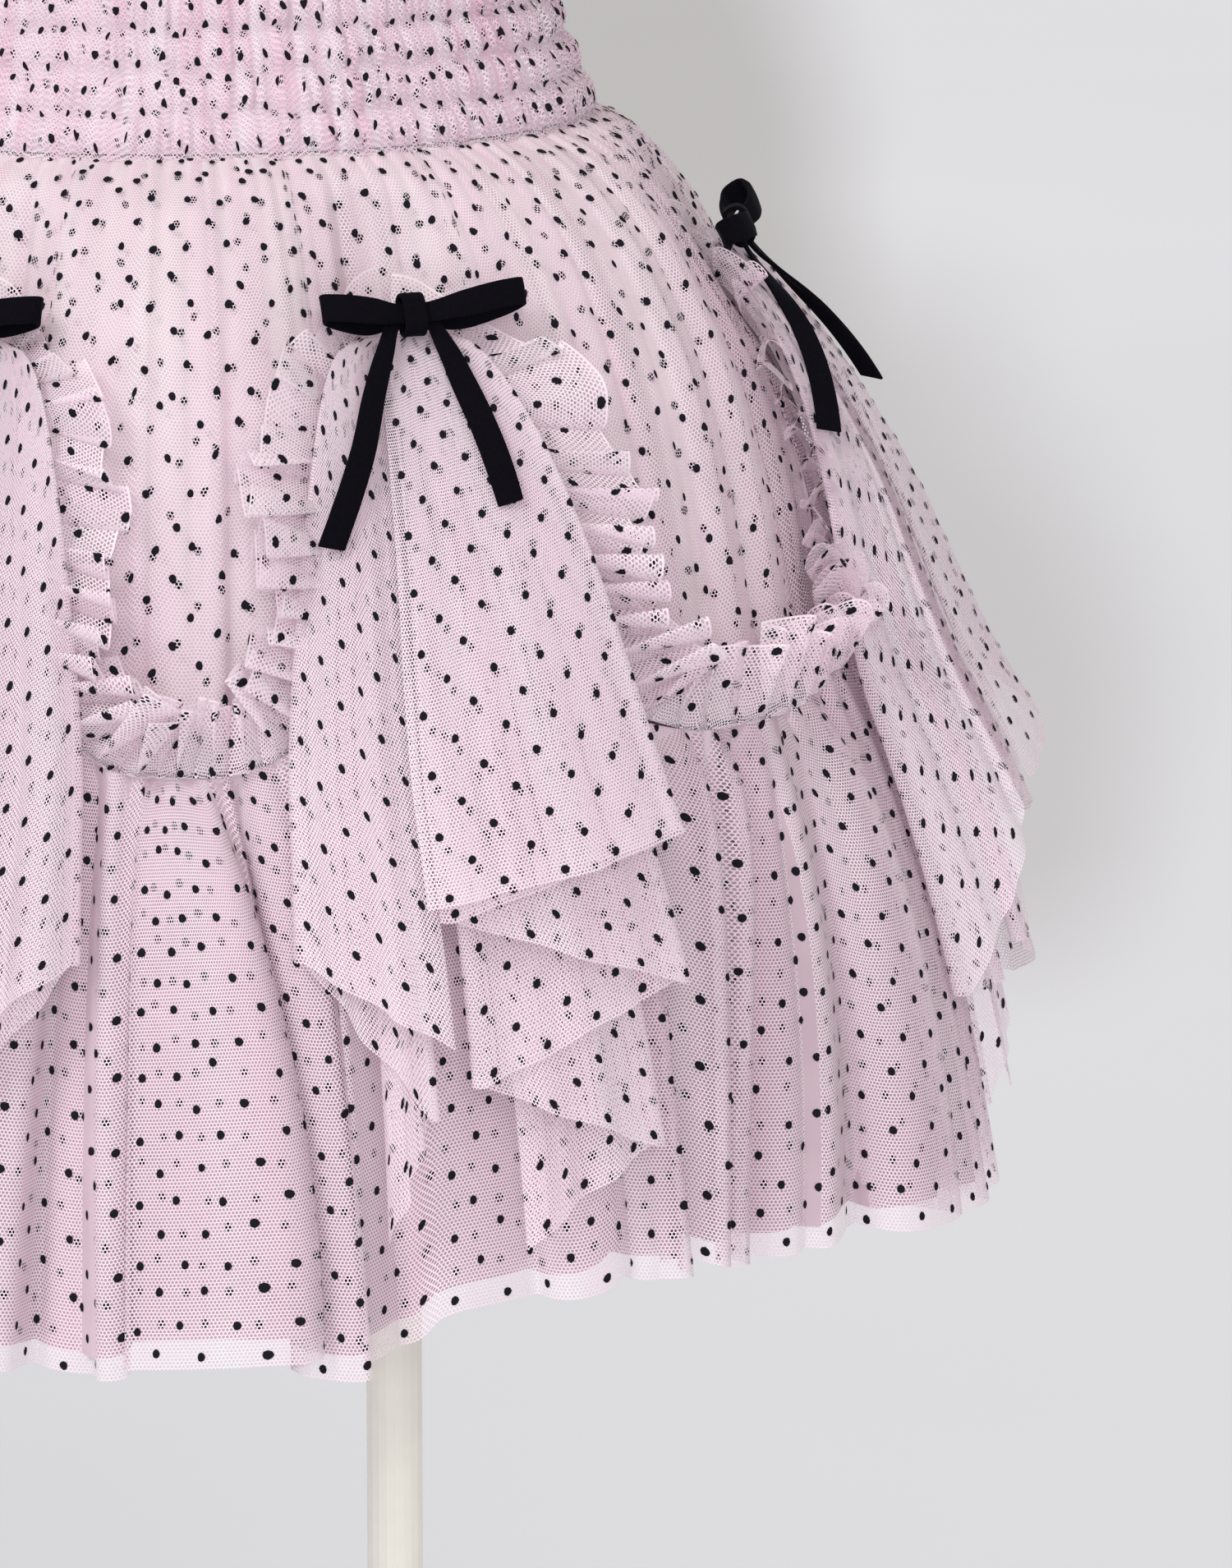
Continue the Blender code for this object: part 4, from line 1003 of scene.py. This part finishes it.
def build_cascades():
    """Beside each bow, the flounce's spare cloth falls in folds that open towards a stepped hem."""
    for number, bow in enumerate(BOWS):
        inner = SIDE_INNER_CASCADE if bow.name.startswith("side") else INNER_CASCADE
        for label, turns, taper in (("outer", OUTER_CASCADE, 0.85), ("inner", inner, 0.60)):
            rows = []
            seed = 400 + number * 2 + (label == "inner")
            for share in np.linspace(0, 1, CASCADE_ROWS) ** 1.2:
                across, out, hem = cascade_row(turns, share, seed).T
                top = bow.drop + CASCADE_TOP
                rows.append(beside_bow(bow, across, top + (hem - top) * share, out))
            points = np.array(rows)
            if bow.side < 0:
                points = points[:, ::-1]
            sheet = sheet_of(points, False, from_hem=True)
            dotted(
                f"cascade_tulle_{label}_{bow.name}", sheet, TULLE, (0.3 + 0.13 * number, 0.2 + 0.21 * number),
                replaces=[f"cascade_{label}_{bow.name}"], sides=(1.0, -1.0),
            )


def bow_frame(bow):
    """Turns points across, out and up from a bow's knot into points in space."""
    spread = smooth(SKIRT_PROFILE, bow.drop)
    square = math.atan2(
        (WAIST_HALF_DEPTH + spread) * math.sin(bow.angle), (WAIST_HALF_WIDTH + spread) * math.cos(bow.angle)
    )
    spot = skirt_point(bow.angle, bow.drop, BOW_STANDOFF)
    turn = np.array(Matrix.Rotation(square, 3, "Z") @ Matrix.Rotation(-BOW_LEAN, 3, "X"))
    return lambda across, out, up: spot + np.stack([bow.side * across, -out, up], axis=-1) @ turn.T


def finer(stops, count):
    """More points along a smooth curve through the stops."""
    stops = np.array(stops)
    along = np.concatenate([[0.0], np.cumsum(np.linalg.norm(np.diff(stops[:, :3], axis=0), axis=1))])
    place = np.linspace(0, along[-1], count)
    return np.stack([smooth(np.stack([along, column], axis=1), place) for column in stops.T])


def ribbon_piece(name, points, replaces):
    """A velvet ribbon from rows of points across it."""
    mesh = mesh_of(name, points.reshape(-1, 3), grid_faces(*points.shape[:2], False))
    thing = piece(name, mesh, VELVET)
    solidify = thing.modifiers.new("pile", "SOLIDIFY")
    solidify.thickness = 0.0013
    solidify.offset = 0.0
    bevel = thing.modifiers.new("soft_edge", "BEVEL")
    bevel.width = 0.0004
    bevel.segments = 2
    bevel.limit_method = "ANGLE"
    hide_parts(*replaces)
    return thing


def build_bows():
    """Each bow's loops, knot and tails."""
    widths = np.linspace(-1, 1, 7)
    crown = 0.0004 * (1 - widths**2)
    for bow in BOWS:
        place = bow_frame(bow)
        across, out, up, width = finer(LOOP_STOPS, 90)
        loops = np.array([place(across, out + c, up + w * width / 2) for w, c in zip(widths, crown)])
        ribbon_piece(f"velvet_loops_{bow.name}", loops, [f"bow_{bow.name}_loops"])
        path = np.array(KNOT_PATH)
        along = np.concatenate([[0.0], np.cumsum(np.linalg.norm(np.diff(path, axis=0), axis=1))])
        spots = np.linspace(0, along[-1], 40)
        out, up = (smooth(np.stack([along, column], axis=1), spots) for column in path.T)
        knot = np.array([place(w * KNOT_WIDTH / 2 + 0 * out, out + c, up) for w, c in zip(widths, crown)])
        ribbon_piece(f"velvet_knot_{bow.name}", knot, [f"bow_{bow.name}_knot"])
        across, out, up, width = finer(TAILS_BY_BOW.get(bow.name, TAIL_STOPS), 80)
        ahead = np.stack([np.gradient(across), np.gradient(up)])
        side = np.stack([ahead[1], -ahead[0]]) / np.hypot(*ahead) * width / 2
        across = across + bow.sway * up
        fall = np.clip(-up / 0.030, 0, 1)
        twist = (SIDE_TAIL_TWIST if bow.name.startswith("side") else 0.0) * fall * fall * (3 - 2 * fall)
        flat, edge = np.cos(twist), np.sin(twist) * width / 2
        tails = np.array(
            [
                beside_bow(
                    bow, across + w * side[0] * flat, bow.drop - up - w * side[1] * flat,
                    out + c * flat + w * edge + 0.4 * np.abs(edge),
                )
                for w, c in zip(widths, crown)
            ]
        )
        ribbon_piece(f"velvet_tails_{bow.name}", tails, [f"bow_{bow.name}_tails"])


def dress_stand():
    """The form and the stand show as their own solids, in jersey and cream paint."""
    nodes = frame["nodes"]
    for name, material in (
        ("pole", PAINT), ("pole_socket", PAINT), ("base_collar", PAINT), ("base_plate", PAINT),
        ("display_form", JERSEY),
    ):
        mesh = nodes[name].data
        mesh.materials.clear()
        mesh.materials.append(material)


build_camera()
build_waistband()
build_lining()
build_tiers()
build_headings()
build_cascades()
build_bows()
dress_stand()
build_studio()
